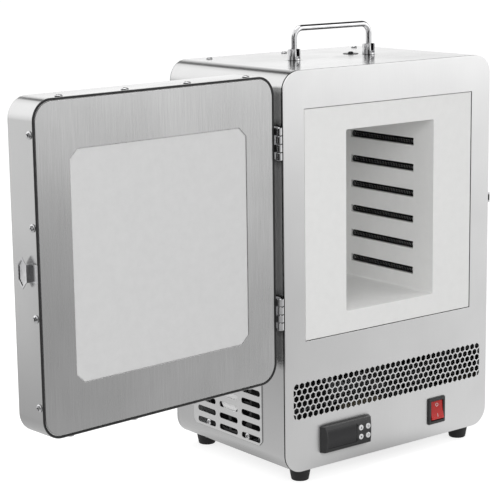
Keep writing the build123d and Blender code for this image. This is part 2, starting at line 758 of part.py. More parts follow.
def vent_plate():
    """The slotted plate over the opening in the left side, with its corners clipped."""
    middle_y = FRONT + VENT_FRONT + VENT_WIDTH / 2
    sheet = Pos(middle_y, VENT_FLOOR + VENT_HEIGHT / 2) * Rectangle(VENT_WIDTH, VENT_HEIGHT)
    sheet = chamfer(sheet.vertices(), VENT_CLIP)
    slots = []
    for row in range(SLOT_ROWS):
        for column in range(SLOT_COLUMNS):
            y = FRONT + SLOT_FIRST_Y + column * SLOT_PITCH_Y
            slots.append(slot(SLOT_LENGTH, SLOT_HEIGHT, y, SLOT_FIRST_Z + row * SLOT_PITCH_Z))
    return extrude(sideways(-SIDE - VENT_SHEET) * perforated(sheet, slots), amount=VENT_SHEET, dir=(1, 0, 0))


def fan_corners():
    """The y and z of the fan's four screws."""
    step = FAN_SCREW_SPACING / 2
    return [(FRONT + FAN_CENTRE_BACK + y, FAN_CENTRE_Z + z) for y in (-step, step) for z in (-step, step)]


def fan_screws():
    return heads([(-SIDE - VENT_SHEET, y, z) for y, z in fan_corners()], (-1, 0, 0), FAN_SCREW_RADIUS)


def fan_frame():
    """The fan's square frame. Four struts on its outer side hold the still hub and its axle."""
    middle = Pos(FRONT + FAN_CENTRE_BACK, FAN_CENTRE_Z)
    start = -SIDE + SHELL_SHEET
    outline = chamfer(Rectangle(FAN_SIZE, FAN_SIZE).vertices(), FAN_CORNER)
    outline -= RegularPolygon(FAN_BORE / 2, FAN_SIDES)
    frame = side_slab(middle * outline, start, FAN_DEPTH)
    struts = Rectangle(FAN_BORE + 1, FAN_STRUT) + Rectangle(FAN_STRUT, FAN_BORE + 1)
    struts += RegularPolygon(FAN_HUB_RADIUS, FAN_SIDES)
    frame += side_slab(middle * struts, start, FAN_STRUT_DEPTH)
    axle = (start, FRONT + FAN_CENTRE_BACK, FAN_CENTRE_Z)
    return frame + faceted_rod(axle, (1, 0, 0), FAN_AXLE_RADIUS, FAN_DEPTH - FAN_STRUT_DEPTH)


def fan_rotor():
    """The turning hub and its pitched blades, on the still axle."""
    start = -SIDE + SHELL_SHEET + FAN_STRUT_DEPTH + FIT_GAP
    y = FRONT + FAN_CENTRE_BACK
    depth = FAN_DEPTH - FAN_STRUT_DEPTH - 2 * FIT_GAP
    rotor = faceted_rod((start, y, FAN_CENTRE_Z), (1, 0, 0), FAN_HUB_RADIUS, depth, FAN_SIDES)
    length = FAN_BLADE_RADIUS - FAN_HUB_RADIUS / 2
    blade = Pos(0, 0, FAN_BLADE_RADIUS - length / 2) * Box(depth, FAN_BLADE_SHEET, length)
    blade = Rot(0, 0, FAN_BLADE_TURN) * blade
    centre = Pos(start + depth / 2, y, FAN_CENTRE_Z)
    rotor += [centre * Rot(360 / FAN_BLADES * step, 0, 0) * blade for step in range(FAN_BLADES)]
    bore_depth = FAN_DEPTH - 2 * FAN_STRUT_DEPTH
    bore_radius = FAN_AXLE_RADIUS + PIN_CLEARANCE
    return rotor - faceted_bore((start, y, FAN_CENTRE_Z), (1, 0, 0), bore_radius, bore_depth)


def foot_places():
    """The x and y of each foot."""
    rows = (FRONT + FOOT_FRONT, BACK - FOOT_BACK)
    return [(x, y) for x in (-FOOT_X, FOOT_X) for y in rows]


def rubber_feet():
    feet = []
    for x, y in foot_places():
        low = Pos(x, y, 0) * RegularPolygon(FOOT_BOTTOM_RADIUS, FOOT_SIDES)
        high = Pos(x, y, FOOT_HEIGHT) * RegularPolygon(FOOT_TOP_RADIUS, FOOT_SIDES)
        body = loft([low, high], ruled=True)
        feet.append(body - faceted_rod((x, y, 0), (0, 0, 1), FOOT_RECESS_RADIUS, FOOT_RECESS))
    return Compound(feet)


def heat_sink():
    """Fins under a flat base, standing on the cabinet's floor."""
    y = FRONT + SINK_BACK
    top = INNER_FLOOR + SINK_HEIGHT
    left = SINK_X - SINK_WIDTH / 2
    depth = (y - SINK_DEPTH / 2, y + SINK_DEPTH / 2)
    sink = block((left, left + SINK_WIDTH), depth, (top - SINK_BASE, top))
    pitch = (SINK_WIDTH - SINK_FIN) / (SINK_FINS - 1)
    for step in range(SINK_FINS):
        fin = left + step * pitch
        sink += block((fin, fin + SINK_FIN), depth, (INNER_FLOOR, top - SINK_BASE))
    return sink


def relay():
    y = FRONT + SINK_BACK
    low = INNER_FLOOR + SINK_HEIGHT
    across = (SINK_X - RELAY_WIDTH / 2, SINK_X + RELAY_WIDTH / 2)
    return block(across, (y - RELAY_DEPTH / 2, y + RELAY_DEPTH / 2), (low, low + RELAY_HEIGHT))


def terminal_block():
    """A row of terminals, with a barrier left standing between each pair."""
    y = FRONT + TERMINAL_BACK
    left = TERMINAL_X - TERMINAL_LENGTH / 2
    depth = (y - TERMINAL_WIDTH / 2, y + TERMINAL_WIDTH / 2)
    piece = block((left, left + TERMINAL_LENGTH), depth, (INNER_FLOOR, INNER_FLOOR + TERMINAL_HEIGHT))
    pitch = TERMINAL_LENGTH / TERMINAL_POLES
    for pole in range(TERMINAL_POLES):
        x = left + pole * pitch
        cell = (x + TERMINAL_BARRIER, x + pitch - TERMINAL_BARRIER)
        piece -= block(cell, depth, (INNER_FLOOR + TERMINAL_HEIGHT / 2, INNER_FLOOR + TERMINAL_HEIGHT))
    return piece


def power_inlet():
    """The mains inlet: a flange on the back panel and a socket that opens to the back."""
    place = Pos(INLET_X, INLET_Z)
    outline = RectangleRounded(INLET_FLANGE_WIDTH, INLET_FLANGE_HEIGHT, INLET_CORNER)
    flange = slab(place * outline, BACK, INLET_FLANGE)
    body = slab(place * Rectangle(INLET_WIDTH, INLET_HEIGHT), BACK - INLET_DEPTH, INLET_DEPTH)
    mouth = place * Rectangle(INLET_WIDTH - 2 * INLET_WALL, INLET_HEIGHT - 2 * INLET_WALL)
    return flange + body - slab(mouth, BACK + INLET_FLANGE - INLET_SOCKET_DEPTH, INLET_SOCKET_DEPTH)


def inlet_blades():
    floor = BACK + INLET_FLANGE - INLET_SOCKET_DEPTH
    blades = []
    for step_x, step_z in ((-1, -0.5), (0, 0.5), (1, -0.5)):
        x = INLET_X + step_x * BLADE_SPACING
        z = INLET_Z + step_z * BLADE_SPACING / 2
        height = (z - BLADE_SHEET, z + BLADE_SHEET)
        across = (x - BLADE_SHEET / 2, x + BLADE_SHEET / 2)
        blades.append(block(across, (floor, floor + BLADE_LENGTH), height))
    return Compound(blades)


def handle_post(side):
    """One slotted post of the carry handle. Its pin is pressed into it."""
    x = side * HANDLE_SPAN / 2
    post = faceted_rod((x, HANDLE_Y, TOP), (0, 0, 1), POST_RADIUS, POST_HEIGHT, POST_SIDES)
    half = POST_SLOT / 2
    slot_y = (HANDLE_Y - 2 * POST_RADIUS, HANDLE_Y + 2 * POST_RADIUS)
    post -= block((x - half, x + half), slot_y, (TOP + POST_SLOT_FLOOR, TOP + 2 * POST_HEIGHT))
    start = (x - 2 * POST_RADIUS, HANDLE_Y, TOP + POST_PIN_HEIGHT)
    return post - faceted_rod(start, (1, 0, 0), POST_PIN_RADIUS, 4 * POST_RADIUS)


def handle_posts():
    return Compound([handle_post(-1), handle_post(1)])


def handle_pins():
    reach = POST_RADIUS - PIN_INSET
    pins = []
    for side in (-1, 1):
        start = (side * HANDLE_SPAN / 2 - reach, HANDLE_Y, TOP + POST_PIN_HEIGHT)
        pins.append(faceted_rod(start, (1, 0, 0), POST_PIN_RADIUS, 2 * reach))
    return Compound(pins)


def bend_points(corner, start_way, end_way):
    """Points along a handle bend: a quarter turn between two unit directions, in short straight runs."""
    centre = corner - start_way * HANDLE_BEND + end_way * HANDLE_BEND
    points = []
    for step in range(HANDLE_BEND_STEPS + 1):
        angle = math.pi / 2 * step / HANDLE_BEND_STEPS
        away = start_way * math.sin(angle) - end_way * math.cos(angle)
        points.append(centre + away * HANDLE_BEND)
    return points


def handle_bar():
    """The bent bar, upright, with a bore in each end for its pin."""
    half = HANDLE_SPAN / 2
    low = TOP + POST_PIN_HEIGHT - HANDLE_WIRE / 2
    high = TOP + HANDLE_RISE
    up = Vector(0, 0, 1)
    across = Vector(1, 0, 0)
    points = [Vector(-half, HANDLE_Y, low)]
    points += bend_points(Vector(-half, HANDLE_Y, high), up, across)
    points += bend_points(Vector(half, HANDLE_Y, high), across, -up)
    points.append(Vector(half, HANDLE_Y, low))
    section = Plane(origin=points[0]) * RegularPolygon(HANDLE_WIRE / 2, HANDLE_SIDES)
    bar = sweep(section, path=Polyline(*points), transition=Transition.RIGHT)
    start = (-half - HANDLE_WIRE, HANDLE_Y, TOP + POST_PIN_HEIGHT)
    reach = HANDLE_SPAN + 2 * HANDLE_WIRE
    return bar - faceted_bore(start, (1, 0, 0), POST_PIN_RADIUS + PIN_CLEARANCE, reach)


def knuckle_spans(middle):
    """The low and high z of each knuckle of one hinge, from its bottom."""
    pitch = HINGE_HEIGHT / HINGE_KNUCKLES
    low = middle - HINGE_HEIGHT / 2
    half_gap = KNUCKLE_GAP / 2
    return [(low + i * pitch + half_gap, low + (i + 1) * pitch - half_gap) for i in range(HINGE_KNUCKLES)]


def hinge_leaf(middle, first, way):
    """A leaf on a side face. First is the index of its lowest knuckle, way is 1 for back, -1 for front."""
    near = HINGE_Y + way * (KNUCKLE_RADIUS + FIT_GAP)
    far = HINGE_Y + way * LEAF_WIDTH
    x = (-SIDE - LEAF_SHEET, -SIDE)
    low = middle - HINGE_HEIGHT / 2
    leaf = block(x, sorted((near, far)), (low, low + HINGE_HEIGHT))
    for z in knuckle_spans(middle)[first::2]:
        leaf += block((-SIDE - LEAF_SHEET - KNUCKLE_WEB, -SIDE), sorted((HINGE_Y, near)), z)
        leaf += faceted_rod((HINGE_X, HINGE_Y, z[0]), (0, 0, 1), KNUCKLE_RADIUS, z[1] - z[0], KNUCKLE_SIDES)
    bore = HINGE_PIN_RADIUS + PIN_CLEARANCE
    return leaf - faceted_bore((HINGE_X, HINGE_Y, low - 1), (0, 0, 1), bore, HINGE_HEIGHT + 2)


def hinge_leaves(first, way):
    return Compound([hinge_leaf(middle, first, way) for middle in (HINGE_LOWER, HINGE_UPPER)])


def hinge_pins():
    pins = []
    for middle in (HINGE_LOWER, HINGE_UPPER):
        low = middle - HINGE_HEIGHT / 2
        pins.append(faceted_rod((HINGE_X, HINGE_Y, low), (0, 0, 1), HINGE_PIN_RADIUS, HINGE_HEIGHT))
    return Compound(pins)


def door_outline(inset=0.0):
    """The door's outline seen from the front, drawn in by an inset."""
    width = DOOR_WIDTH - 2 * inset
    height = DOOR_HEIGHT - 2 * inset
    return rounded(width, height, BODY_CORNER - inset, DOOR_X, DOOR_MIDDLE)


def pad_outline(grow=0.0):
    """The pad's outline with its clipped corners, grown by a margin."""
    width = PAD_WIDTH / 2 + grow
    height = PAD_HEIGHT / 2 + grow
    in_x = width - PAD_CORNER_X
    in_z = height - PAD_CORNER_Z
    quarter = [(in_x, height), (width, in_z), (width, -in_z), (in_x, -height)]
    quarter += [(-x, z) for x, z in reversed(quarter)]
    return Pos(PAD_X, PAD_MIDDLE) * make_face(Polyline(*quarter, close=True))


def door_shell():
    shell = slab(door_outline(), DOOR_OUTER, DOOR_DEPTH)
    shell = chamfer(shell.faces().sort_by(Axis.Y)[0].edges(), DOOR_BEND)
    inside = slab(door_outline(DOOR_SHEET), DOOR_OUTER + DOOR_SHEET, DOOR_DEPTH)
    return shell - chamfer(inside.faces().sort_by(Axis.Y)[0].edges(), DOOR_BEND_INSIDE)


def door_inner_plate():
    outline = door_outline(DOOR_SHEET + DOOR_PLATE_GAP)
    return slab(outline - pad_outline(), DOOR_INNER - DOOR_PLATE_SHEET, DOOR_PLATE_SHEET)


def door_insulation():
    """The fibre block inside the door, with the pad that stands in the inner plate's window."""
    start = DOOR_OUTER + DOOR_SHEET + DOOR_BEND
    end = DOOR_INNER - DOOR_PLATE_SHEET
    core = slab(door_outline(DOOR_SHEET + PAD_GAP), start, end - start)
    return core + slab(pad_outline(-PAD_GAP), end, DOOR_PLATE_SHEET - PAD_RECESS)


def door_screws():
    """Pan heads along the door's free edge, top and bottom."""
    y = DOOR_INNER - DOOR_SCREW_INSET
    pitch_z = (DOOR_HEIGHT - 2 * DOOR_SCREW_END) / (DOOR_SCREWS - 1)
    pitch_x = (DOOR_WIDTH - 2 * DOOR_SCREW_SIDE) / (DOOR_SCREWS - 1)
    screws = []
    for step in range(DOOR_SCREWS):
        z = DOOR_FLOOR + DOOR_SCREW_END + step * pitch_z
        x = -SIDE + DOOR_SCREW_SIDE + step * pitch_x
        screws.append(pan_head((DOOR_EDGE, y, z), (1, 0, 0)))
        screws.append(pan_head((x, y, DOOR_FLOOR + DOOR_HEIGHT), (0, 0, 1)))
        screws.append(pan_head((x, y, DOOR_FLOOR), (0, 0, -1)))
    return Compound(screws)


def latch_keeper():
    """The keeper on the door's free edge: a neck plate, a step outwards and a pointed horn."""
    neck_end = DOOR_INNER - KEEPER_NECK_LENGTH
    half = KEEPER_NECK_WIDTH / 2
    z = (LATCH_HEIGHT - half, LATCH_HEIGHT + half)
    keeper = block((DOOR_EDGE, DOOR_EDGE + KEEPER_SHEET), (neck_end, DOOR_INNER), z)
    top = DOOR_EDGE + KEEPER_RISE + KEEPER_SHEET
    keeper += block((DOOR_EDGE, top), (neck_end - KEEPER_SHEET, neck_end), z)
    flat = KEEPER_HORN_FLAT / 2
    tip = KEEPER_HORN_HEIGHT / 2
    far = neck_end - KEEPER_HORN_LENGTH
    middle = (neck_end + far) / 2
    horn = Polyline(
        (neck_end, LATCH_HEIGHT - flat),
        (middle, LATCH_HEIGHT - tip),
        (far, LATCH_HEIGHT - flat),
        (far, LATCH_HEIGHT + flat),
        (middle, LATCH_HEIGHT + tip),
        (neck_end, LATCH_HEIGHT + flat),
        close=True,
    )
    return keeper + side_slab(make_face(horn), DOOR_EDGE + KEEPER_RISE, KEEPER_SHEET)


def latch_pivot():
    """The x and y of the lever's pin."""
    return SIDE + LATCH_PIVOT_OUT, FRONT + LATCH_PIVOT_BACK


def bail_pivot():
    """The x and y of the bail's ends in the closed lever."""
    x, y = latch_pivot()
    return x - BAIL_PIN_IN, y + BAIL_PIN_BACK


def flat_from(z, sketch, height):
    """Thickens a sketch of x and y upwards from z."""
    return extrude(Plane.XY.offset(z) * sketch, amount=height)


def latch_base():
    start = FRONT + LATCH_BASE_START
    half = LATCH_BASE_WIDTH / 2
    base = block(
        (SIDE, SIDE + LATCH_SHEET),
        (start, start + LATCH_BASE_LENGTH),
        (LATCH_HEIGHT - half, LATCH_HEIGHT + half),
    )
    x, y = latch_pivot()
    ear = Pos(x, y) * RegularPolygon(LATCH_EAR_RADIUS, LATCH_SIDES)
    ear += Pos((SIDE + x) / 2, y) * Rectangle(x - SIDE, 2 * LATCH_EAR_RADIUS)
    ear -= Pos(x, y) * RegularPolygon(LATCH_PIN_RADIUS, PIN_SIDES)
    inner = LEVER_HALF_WIDTH + LEVER_PLAY
    base += flat_from(LATCH_HEIGHT + inner, ear, LATCH_CHEEK)
    return base + flat_from(LATCH_HEIGHT - inner - LATCH_CHEEK, ear, LATCH_CHEEK)


def latch_pin():
    x, y = latch_pivot()
    reach = LEVER_HALF_WIDTH + LEVER_PLAY + LATCH_CHEEK
    pin = faceted_rod((x, y, LATCH_HEIGHT - reach), (0, 0, 1), LATCH_PIN_RADIUS, 2 * reach)
    for z in (LATCH_HEIGHT - reach - LATCH_PIN_HEAD, LATCH_HEIGHT + reach):
        pin += faceted_rod((x, y, z), (0, 0, 1), LATCH_PIN_RADIUS + LATCH_PIN_HEAD, LATCH_PIN_HEAD)
    return pin


def latch_lever():
    """The lever, closed along the side: a channel that tapers towards its lifted tip."""
    x, y = latch_pivot()
    nose = LATCH_EAR_RADIUS - LEVER_PLAY
    tip = nose * LEVER_TAPER
    far = Pos(x + nose - tip, y + LEVER_LENGTH - tip)
    round_nose = Pos(x, y) * RegularPolygon(nose, LATCH_SIDES)
    outline = make_hull(round_nose.edges() + (far * RegularPolygon(tip, LATCH_SIDES)).edges())
    lever = flat_from(LATCH_HEIGHT - LEVER_HALF_WIDTH, outline, 2 * LEVER_HALF_WIDTH)
    inside = LEVER_HALF_WIDTH - LATCH_CHEEK
    lever -= block(
        (x - 2 * nose, x + nose - LATCH_CHEEK),
        (y - 2 * nose, y + LEVER_LENGTH - 2 * tip),
        (LATCH_HEIGHT - inside, LATCH_HEIGHT + inside),
    )
    length = 2 * LEVER_HALF_WIDTH
    low = LATCH_HEIGHT - LEVER_HALF_WIDTH
    lever -= faceted_bore((x, y, low), (0, 0, 1), LATCH_PIN_RADIUS + PIN_CLEARANCE, length)
    bail_x, bail_y = bail_pivot()
    return lever - faceted_bore((bail_x, bail_y, low), (0, 0, 1), BAIL_WIRE / 2 + PIN_CLEARANCE, length)


def latch_bail():
    """The wire loop, folded back over the lever. Its two ends turn into the lever's sides."""
    x, y = bail_pivot()
    inner = LEVER_HALF_WIDTH - LATCH_CHEEK
    wide = BAIL_HALF_WIDTH
    near = wide - BAIL_BEND
    end = y + BAIL_LENGTH
    half = [(y, inner), (y, near), (y + BAIL_BEND, wide), (end - BAIL_BEND, wide), (end, near)]
    points = [(x, along, LATCH_HEIGHT + across) for along, across in half]
    points += [(x, along, LATCH_HEIGHT - across) for along, across in reversed(half)]
    section = Plane(origin=points[0]) * RegularPolygon(BAIL_WIRE / 2, BAIL_SIDES)
    bail = sweep(section, path=Polyline(*points), transition=Transition.RIGHT)
    return bail.rotate(Axis((x, y, 0), (0, 0, 1)), BAIL_REST_DROP)


def cabinet_nodes():
    """Every piece that stays with the cabinet, by node name."""
    return {
        "outer_shell": outer_shell(),
        "front_plate": front_plate(),
        "back_panel": back_panel(),
        "top_screws": top_screws(),
        "chimney_plug": chimney_plug(),
        "shelf": shelf(),
        "fibre_muffle": fibre_muffle(),
        "insulation_blanket": insulation_blanket(),
        "heating_coils_left": heating_coils(-1),
        "heating_coils_right": heating_coils(1),
        "thermocouple": thermocouple(),
        "lead_block": lead_block(),
        "controller_case": controller_case(),
        "controller_display": controller_display(),
        "switch_housing": switch_housing(),
        "vent_plate": vent_plate(),
        "vent_screws": fan_screws(),
        "fan_frame": fan_frame(),
        "rubber_feet": rubber_feet(),
        "heat_sink": heat_sink(),
        "solid_state_relay": relay(),
        "terminal_block": terminal_block(),
        "power_inlet": power_inlet(),
        "inlet_blades": inlet_blades(),
        "handle_posts": handle_posts(),
        "handle_pins": handle_pins(),
        "cabinet_hinge_leaves": hinge_leaves(0, 1),
        "hinge_pins": hinge_pins(),
        "latch_base": latch_base(),
        "latch_pin": latch_pin(),
    }


def door_nodes():
    """Every piece that swings with the door, modelled closed and then swung open."""
    nodes = {
        "door_shell": door_shell(),
        "door_inner_plate": door_inner_plate(),
        "door_insulation": door_insulation(),
        "door_screws": door_screws(),
        "door_hinge_leaves": hinge_leaves(1, -1),
        "latch_keeper": latch_keeper(),
    }
    return {name: piece.rotate(HINGE_LINE, -DOOR_OPEN_ANGLE) for name, piece in nodes.items()}


def moving_nodes():
    """The other pieces that move, each by itself."""
    nodes = {
        "switch_rocker": switch_rocker(),
        "fan_rotor": fan_rotor(),
        "handle_bar": handle_bar(),
        "latch_lever": latch_lever(),
        "latch_bail": latch_bail(),
    }
    for name, place in zip(("up", "down", "set", "power"), control_key_places()):
        nodes["key_" + name] = controller_key(place)
    return nodes


def main():
    os.makedirs("parts", exist_ok=True)
    print_coil_gap()
    for group in (cabinet_nodes(), door_nodes(), moving_nodes()):
        for name, piece in group.items():
            piece.label = name
            export_step(piece, "parts/" + name + ".step")


main()
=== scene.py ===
import logging
import math
from collections.abc import Iterable, Sequence
from dataclasses import dataclass, field, replace
from enum import Enum
from typing import ClassVar, NamedTuple

import bmesh
import bpy
from mathutils import Matrix, Vector, noise


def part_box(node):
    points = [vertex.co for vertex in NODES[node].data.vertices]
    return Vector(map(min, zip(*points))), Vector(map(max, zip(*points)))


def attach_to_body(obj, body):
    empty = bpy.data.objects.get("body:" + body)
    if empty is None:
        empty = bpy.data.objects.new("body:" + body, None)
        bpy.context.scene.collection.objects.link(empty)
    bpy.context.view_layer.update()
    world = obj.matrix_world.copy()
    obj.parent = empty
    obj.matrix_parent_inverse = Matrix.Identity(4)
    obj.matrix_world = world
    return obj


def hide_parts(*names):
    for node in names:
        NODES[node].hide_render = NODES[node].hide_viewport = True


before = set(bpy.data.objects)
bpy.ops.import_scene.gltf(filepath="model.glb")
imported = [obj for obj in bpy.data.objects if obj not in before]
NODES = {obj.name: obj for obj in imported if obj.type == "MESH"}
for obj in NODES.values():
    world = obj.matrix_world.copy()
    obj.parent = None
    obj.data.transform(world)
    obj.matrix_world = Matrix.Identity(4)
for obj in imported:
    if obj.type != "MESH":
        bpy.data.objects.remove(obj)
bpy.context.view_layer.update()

MM = 0.001
WELD = 2e-6  # corners of a CAD node closer than this, in metres, are one
ON_AXIS = 1e-6  # a lathe profile's point nearer the axis than this is a pole
log = logging.getLogger("furnace")

Point = tuple[float, float, float]
Flat = tuple[float, float]


# Nodes, meshes and places


def linear(colour: str) -> tuple[float, float, float, float]:
    """Turns an sRGB hex colour to linear light.

    Args:
        colour: Six hex digits after a hash.

    Returns:
        Linear red, green and blue, with an alpha of one.
    """
    parts = [int(colour[i : i + 2], 16) / 255 for i in (1, 3, 5)]
    r, g, b = [c / 12.92 if c <= 0.04045 else ((c + 0.055) / 1.055) ** 2.4 for c in parts]
    return (r, g, b, 1.0)


def add_node(
    tree: bpy.types.NodeTree, kind: str, inputs: dict | None = None, **settings: object
) -> bpy.types.Node:
    """Adds one node with its settings, and fills or links its inputs.

    Args:
        tree: The shader or geometry tree.
        kind: The node's type name.
        inputs: A value or an output socket for each input, by name or place.
        settings: The node's own properties.

    Returns:
        The new node.
    """
    node = tree.nodes.new(kind)
    for name, value in settings.items():
        setattr(node, name, value)
    for key, value in (inputs or {}).items():
        if isinstance(value, bpy.types.NodeSocket):
            tree.links.new(value, node.inputs[key])
        else:
            node.inputs[key].default_value = value
    return node


class Extent(NamedTuple):
    """The corners and the middle of a CAD node's box, in millimetres."""

    low: Point
    high: Point
    middle: Point


def extent(node: str) -> Extent:
    """Measures a CAD node's box.

    Args:
        node: The CAD node.

    Returns:
        Its corners and its middle, in millimetres.
    """
    low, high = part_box(node)
    middle = tuple((a + b) / 2 / MM for a, b in zip(low, high))
    return Extent(tuple(a / MM for a in low), tuple(b / MM for b in high), middle)


def upright(y: float) -> Matrix:
    """The place of an outline of x and z whose thickness runs back from y, in millimetres."""
    return Matrix(((1, 0, 0, 0), (0, 0, 1, y), (0, 1, 0, 0), (0, 0, 0, 1)))


def read_from_front(place: Point) -> Matrix:
    """The place of a flat mark of x and z that rises towards the front, in millimetres."""
    x, y, z = place
    return Matrix(((1, 0, 0, x), (0, 0, -1, y), (0, 1, 0, z), (0, 0, 0, 1)))


def seated(place: Point, facing: Point) -> Matrix:
    """The place of a turned piece whose own Z faces a direction, in millimetres."""
    return Matrix.Translation(place) @ Vector(facing).to_track_quat("Z", "Y").to_matrix().to_4x4()


def turned_about(pivot: Point, degrees: float, axis: str) -> Matrix:
    """A turn about an axis through a point, in millimetres."""
    line = Matrix.Translation(pivot)
    return line @ Matrix.Rotation(math.radians(degrees), 4, axis) @ line.inverted()


def arc(centre: Flat, radius: float, start: float, end: float, steps: int) -> list[Flat]:
    """Points along an arc from one angle to another, in degrees."""
    angles = [math.radians(start + (end - start) * i / steps) for i in range(steps + 1)]
    return [(centre[0] + radius * math.cos(a), centre[1] + radius * math.sin(a)) for a in angles]


def round_outline(
    width: float, height: float, radius: float, middle: Flat = (0, 0), steps: int = 12
) -> list[Flat]:
    """A rounded rectangle, anticlockwise from its right side's foot.

    Args:
        width: Its width.
        height: Its height.
        radius: The radius of its corners.
        middle: Its middle.
        steps: The pieces of each corner's arc.

    Returns:
        Its points.
    """
    x, z = width / 2 - radius, height / 2 - radius
    outline: list[Flat] = []
    for turn, (cx, cz) in enumerate(((x, -z), (x, z), (-x, z), (-x, -z))):
        outline += arc((middle[0] + cx, middle[1] + cz), radius, turn * 90 - 90, turn * 90, steps)
    return outline


def skin(mesh: bmesh.types.BMesh, rings: Sequence[list[bmesh.types.BMVert]], closed: bool = False) -> None:
    """Lays a band of faces from each ring of corners to the next.

    Args:
        mesh: The mesh that holds the rings.
        rings: Rings of as many corners each, or of one where they meet in a pole.
        closed: Whether the last ring runs on to the first.
    """
    following = [*rings[1:], rings[0]] if closed else rings[1:]
    for low, high in zip(rings, following):
        count = max(len(low), len(high))
        for i in range(count):
            j = (i + 1) % count
            corners = (low[i % len(low)], low[j % len(low)], high[j % len(high)], high[i % len(high)])
            mesh.faces.new(list(dict.fromkeys(corners)))


def prism(outline: Sequence[Flat], depth: float) -> bmesh.types.BMesh:
    """Thickens an anticlockwise outline from 0 to a depth.

    Args:
        outline: Its points.
        depth: How far it is thickened.

    Returns:
        The mesh.
    """
    mesh = bmesh.new()
    low = [mesh.verts.new((u, v, 0)) for u, v in outline]
    high = [mesh.verts.new((u, v, depth)) for u, v in outline]
    mesh.faces.new(list(reversed(low)))
    mesh.faces.new(high)
    skin(mesh, [low, high])
    return mesh


def block(low: Point, high: Point) -> bmesh.types.BMesh:
    """A box between two corners, for what is then bevelled or cut.

    Args:
        low: Its low corner.
        high: Its high corner.

    Returns:
        The mesh.
    """
    outline = [(low[0], low[1]), (high[0], low[1]), (high[0], high[1]), (low[0], high[1])]
    mesh = prism(outline, high[2] - low[2])
    bmesh.ops.translate(mesh, verts=mesh.verts, vec=(0, 0, low[2]))
    return mesh


def band_prism(outer: Sequence[Flat], inner: Sequence[Flat], depth: float) -> bmesh.types.BMesh:
    """Thickens the band between two outlines of as many points, from 0 to a depth.

    Args:
        outer: The outer outline.
        inner: The inner outline.
        depth: How far it is thickened.

    Returns:
        The mesh.
    """
    mesh = bmesh.new()
    lines = ((outer, 0), (outer, depth), (inner, depth), (inner, 0))
    skin(mesh, [[mesh.verts.new((u, v, w)) for u, v in line] for line, w in lines], closed=True)
    bmesh.ops.recalc_face_normals(mesh, faces=mesh.faces)
    return mesh


def turned(profile: Sequence[Flat], steps: int = 40, bored: bool = False) -> bmesh.types.BMesh:
    """Turns a profile about Z, as on a lathe.

    Args:
        profile: Its (radius, height) pairs.
        steps: The faces round it.
        bored: Whether the profile closes on itself clear of the axis, as round a bore.

    Returns:
        The turned mesh.
    """
    mesh = bmesh.new()
    rings = []
    for radius, height in profile:
        angles = [2 * math.pi * i / steps for i in range(steps if radius > ON_AXIS else 1)]
        rings.append([mesh.verts.new((radius * math.cos(a), radius * math.sin(a), height)) for a in angles])
    skin(mesh, rings, closed=bored)
    for ring in () if bored else (rings[0], rings[-1]):
        if len(ring) > 1:
            mesh.faces.new(ring)
    bmesh.ops.recalc_face_normals(mesh, faces=mesh.faces)
    return mesh


def tube(points: Sequence[Point], radius: float, sides: int = 20) -> bmesh.types.BMesh:
    """A round bar along a path, with flat ends.

    Args:
        points: The path's points.
        radius: The bar's radius.
        sides: The faces round it.

    Returns:
        The mesh.
    """
    path = [Vector(p) for p in points]
    mesh = bmesh.new()
    way = (path[1] - path[0]).normalized()
    side = way.orthogonal().normalized()
    angles = [2 * math.pi * k / sides for k in range(sides)]
    rings = []
    for i, point in enumerate(path):
        before = (point - path[i - 1]).normalized() if i else way
        after = (path[i + 1] - point).normalized() if i + 1 < len(path) else before
        along = (before + after).normalized()
        side = (side - along * side.dot(along)).normalized()
        other = along.cross(side)
        spokes = [side * math.cos(a) + other * math.sin(a) for a in angles]
        rings.append([mesh.verts.new(point + spoke * radius) for spoke in spokes])
    skin(mesh, rings)
    mesh.faces.new(list(reversed(rings[0])))
    mesh.faces.new(rings[-1])
    return mesh


def eased(
    mesh: bmesh.types.BMesh, width: float, angle: float = 35.0, segments: int = 2
) -> bmesh.types.BMesh:
    """Rounds the edges that are sharper than an angle, by a width in the mesh's own unit.

    Args:
        mesh: The mesh, which is changed.
        width: How far the rounding reaches from each edge.
        angle: Edges flatter than this stay, in degrees.
        segments: The faces of each rounding.

    Returns:
        The same mesh.
    """
    limit = math.radians(angle)
    edges = [e for e in mesh.edges if len(e.link_faces) == 2 and e.calc_face_angle(0) > limit]
    bmesh.ops.bevel(
        mesh, geom=edges, offset=width, segments=segments, profile=0.5, affect="EDGES", clamp_overlap=True
    )
    return mesh


def moved(mesh: bmesh.types.BMesh, place: Matrix) -> bmesh.types.BMesh:
    """Sets a mesh in place, and turns its faces back if the place mirrors it.

    Args:
        mesh: The mesh, which is changed.
        place: Its place.

    Returns:
        The same mesh.
    """
    bmesh.ops.transform(mesh, matrix=place, verts=mesh.verts)
    if place.determinant() < 0:
        bmesh.ops.reverse_faces(mesh, faces=mesh.faces)
    return mesh


def joined(parts: Iterable[bmesh.types.BMesh]) -> bmesh.types.BMesh:
    """Puts several meshes in one.

    Args:
        parts: The meshes, which are freed.

    Returns:
        The whole mesh.
    """
    whole = bmesh.new()
    for part in parts:
        data = bpy.data.meshes.new("part")
        part.to_mesh(data)
        part.free()
        whole.from_mesh(data)
        bpy.data.meshes.remove(data)
    return whole


def welded(node: str) -> bmesh.types.BMesh:
    """A copy of a CAD node's mesh, in metres, whose loose triangles are joined.

    Args:
        node: The CAD node.

    Returns:
        The copy.
    """
    mesh = bmesh.new()
    mesh.from_mesh(NODES[node].data)
    bmesh.ops.remove_doubles(mesh, verts=mesh.verts, dist=WELD)
    return mesh


def show(name: str, data: bpy.types.Mesh) -> bpy.types.Object:
    """Makes the object of a finished mesh and puts it in the scene."""
    piece = bpy.data.objects.new(name, data)
    bpy.context.scene.collection.objects.link(piece)
    return piece


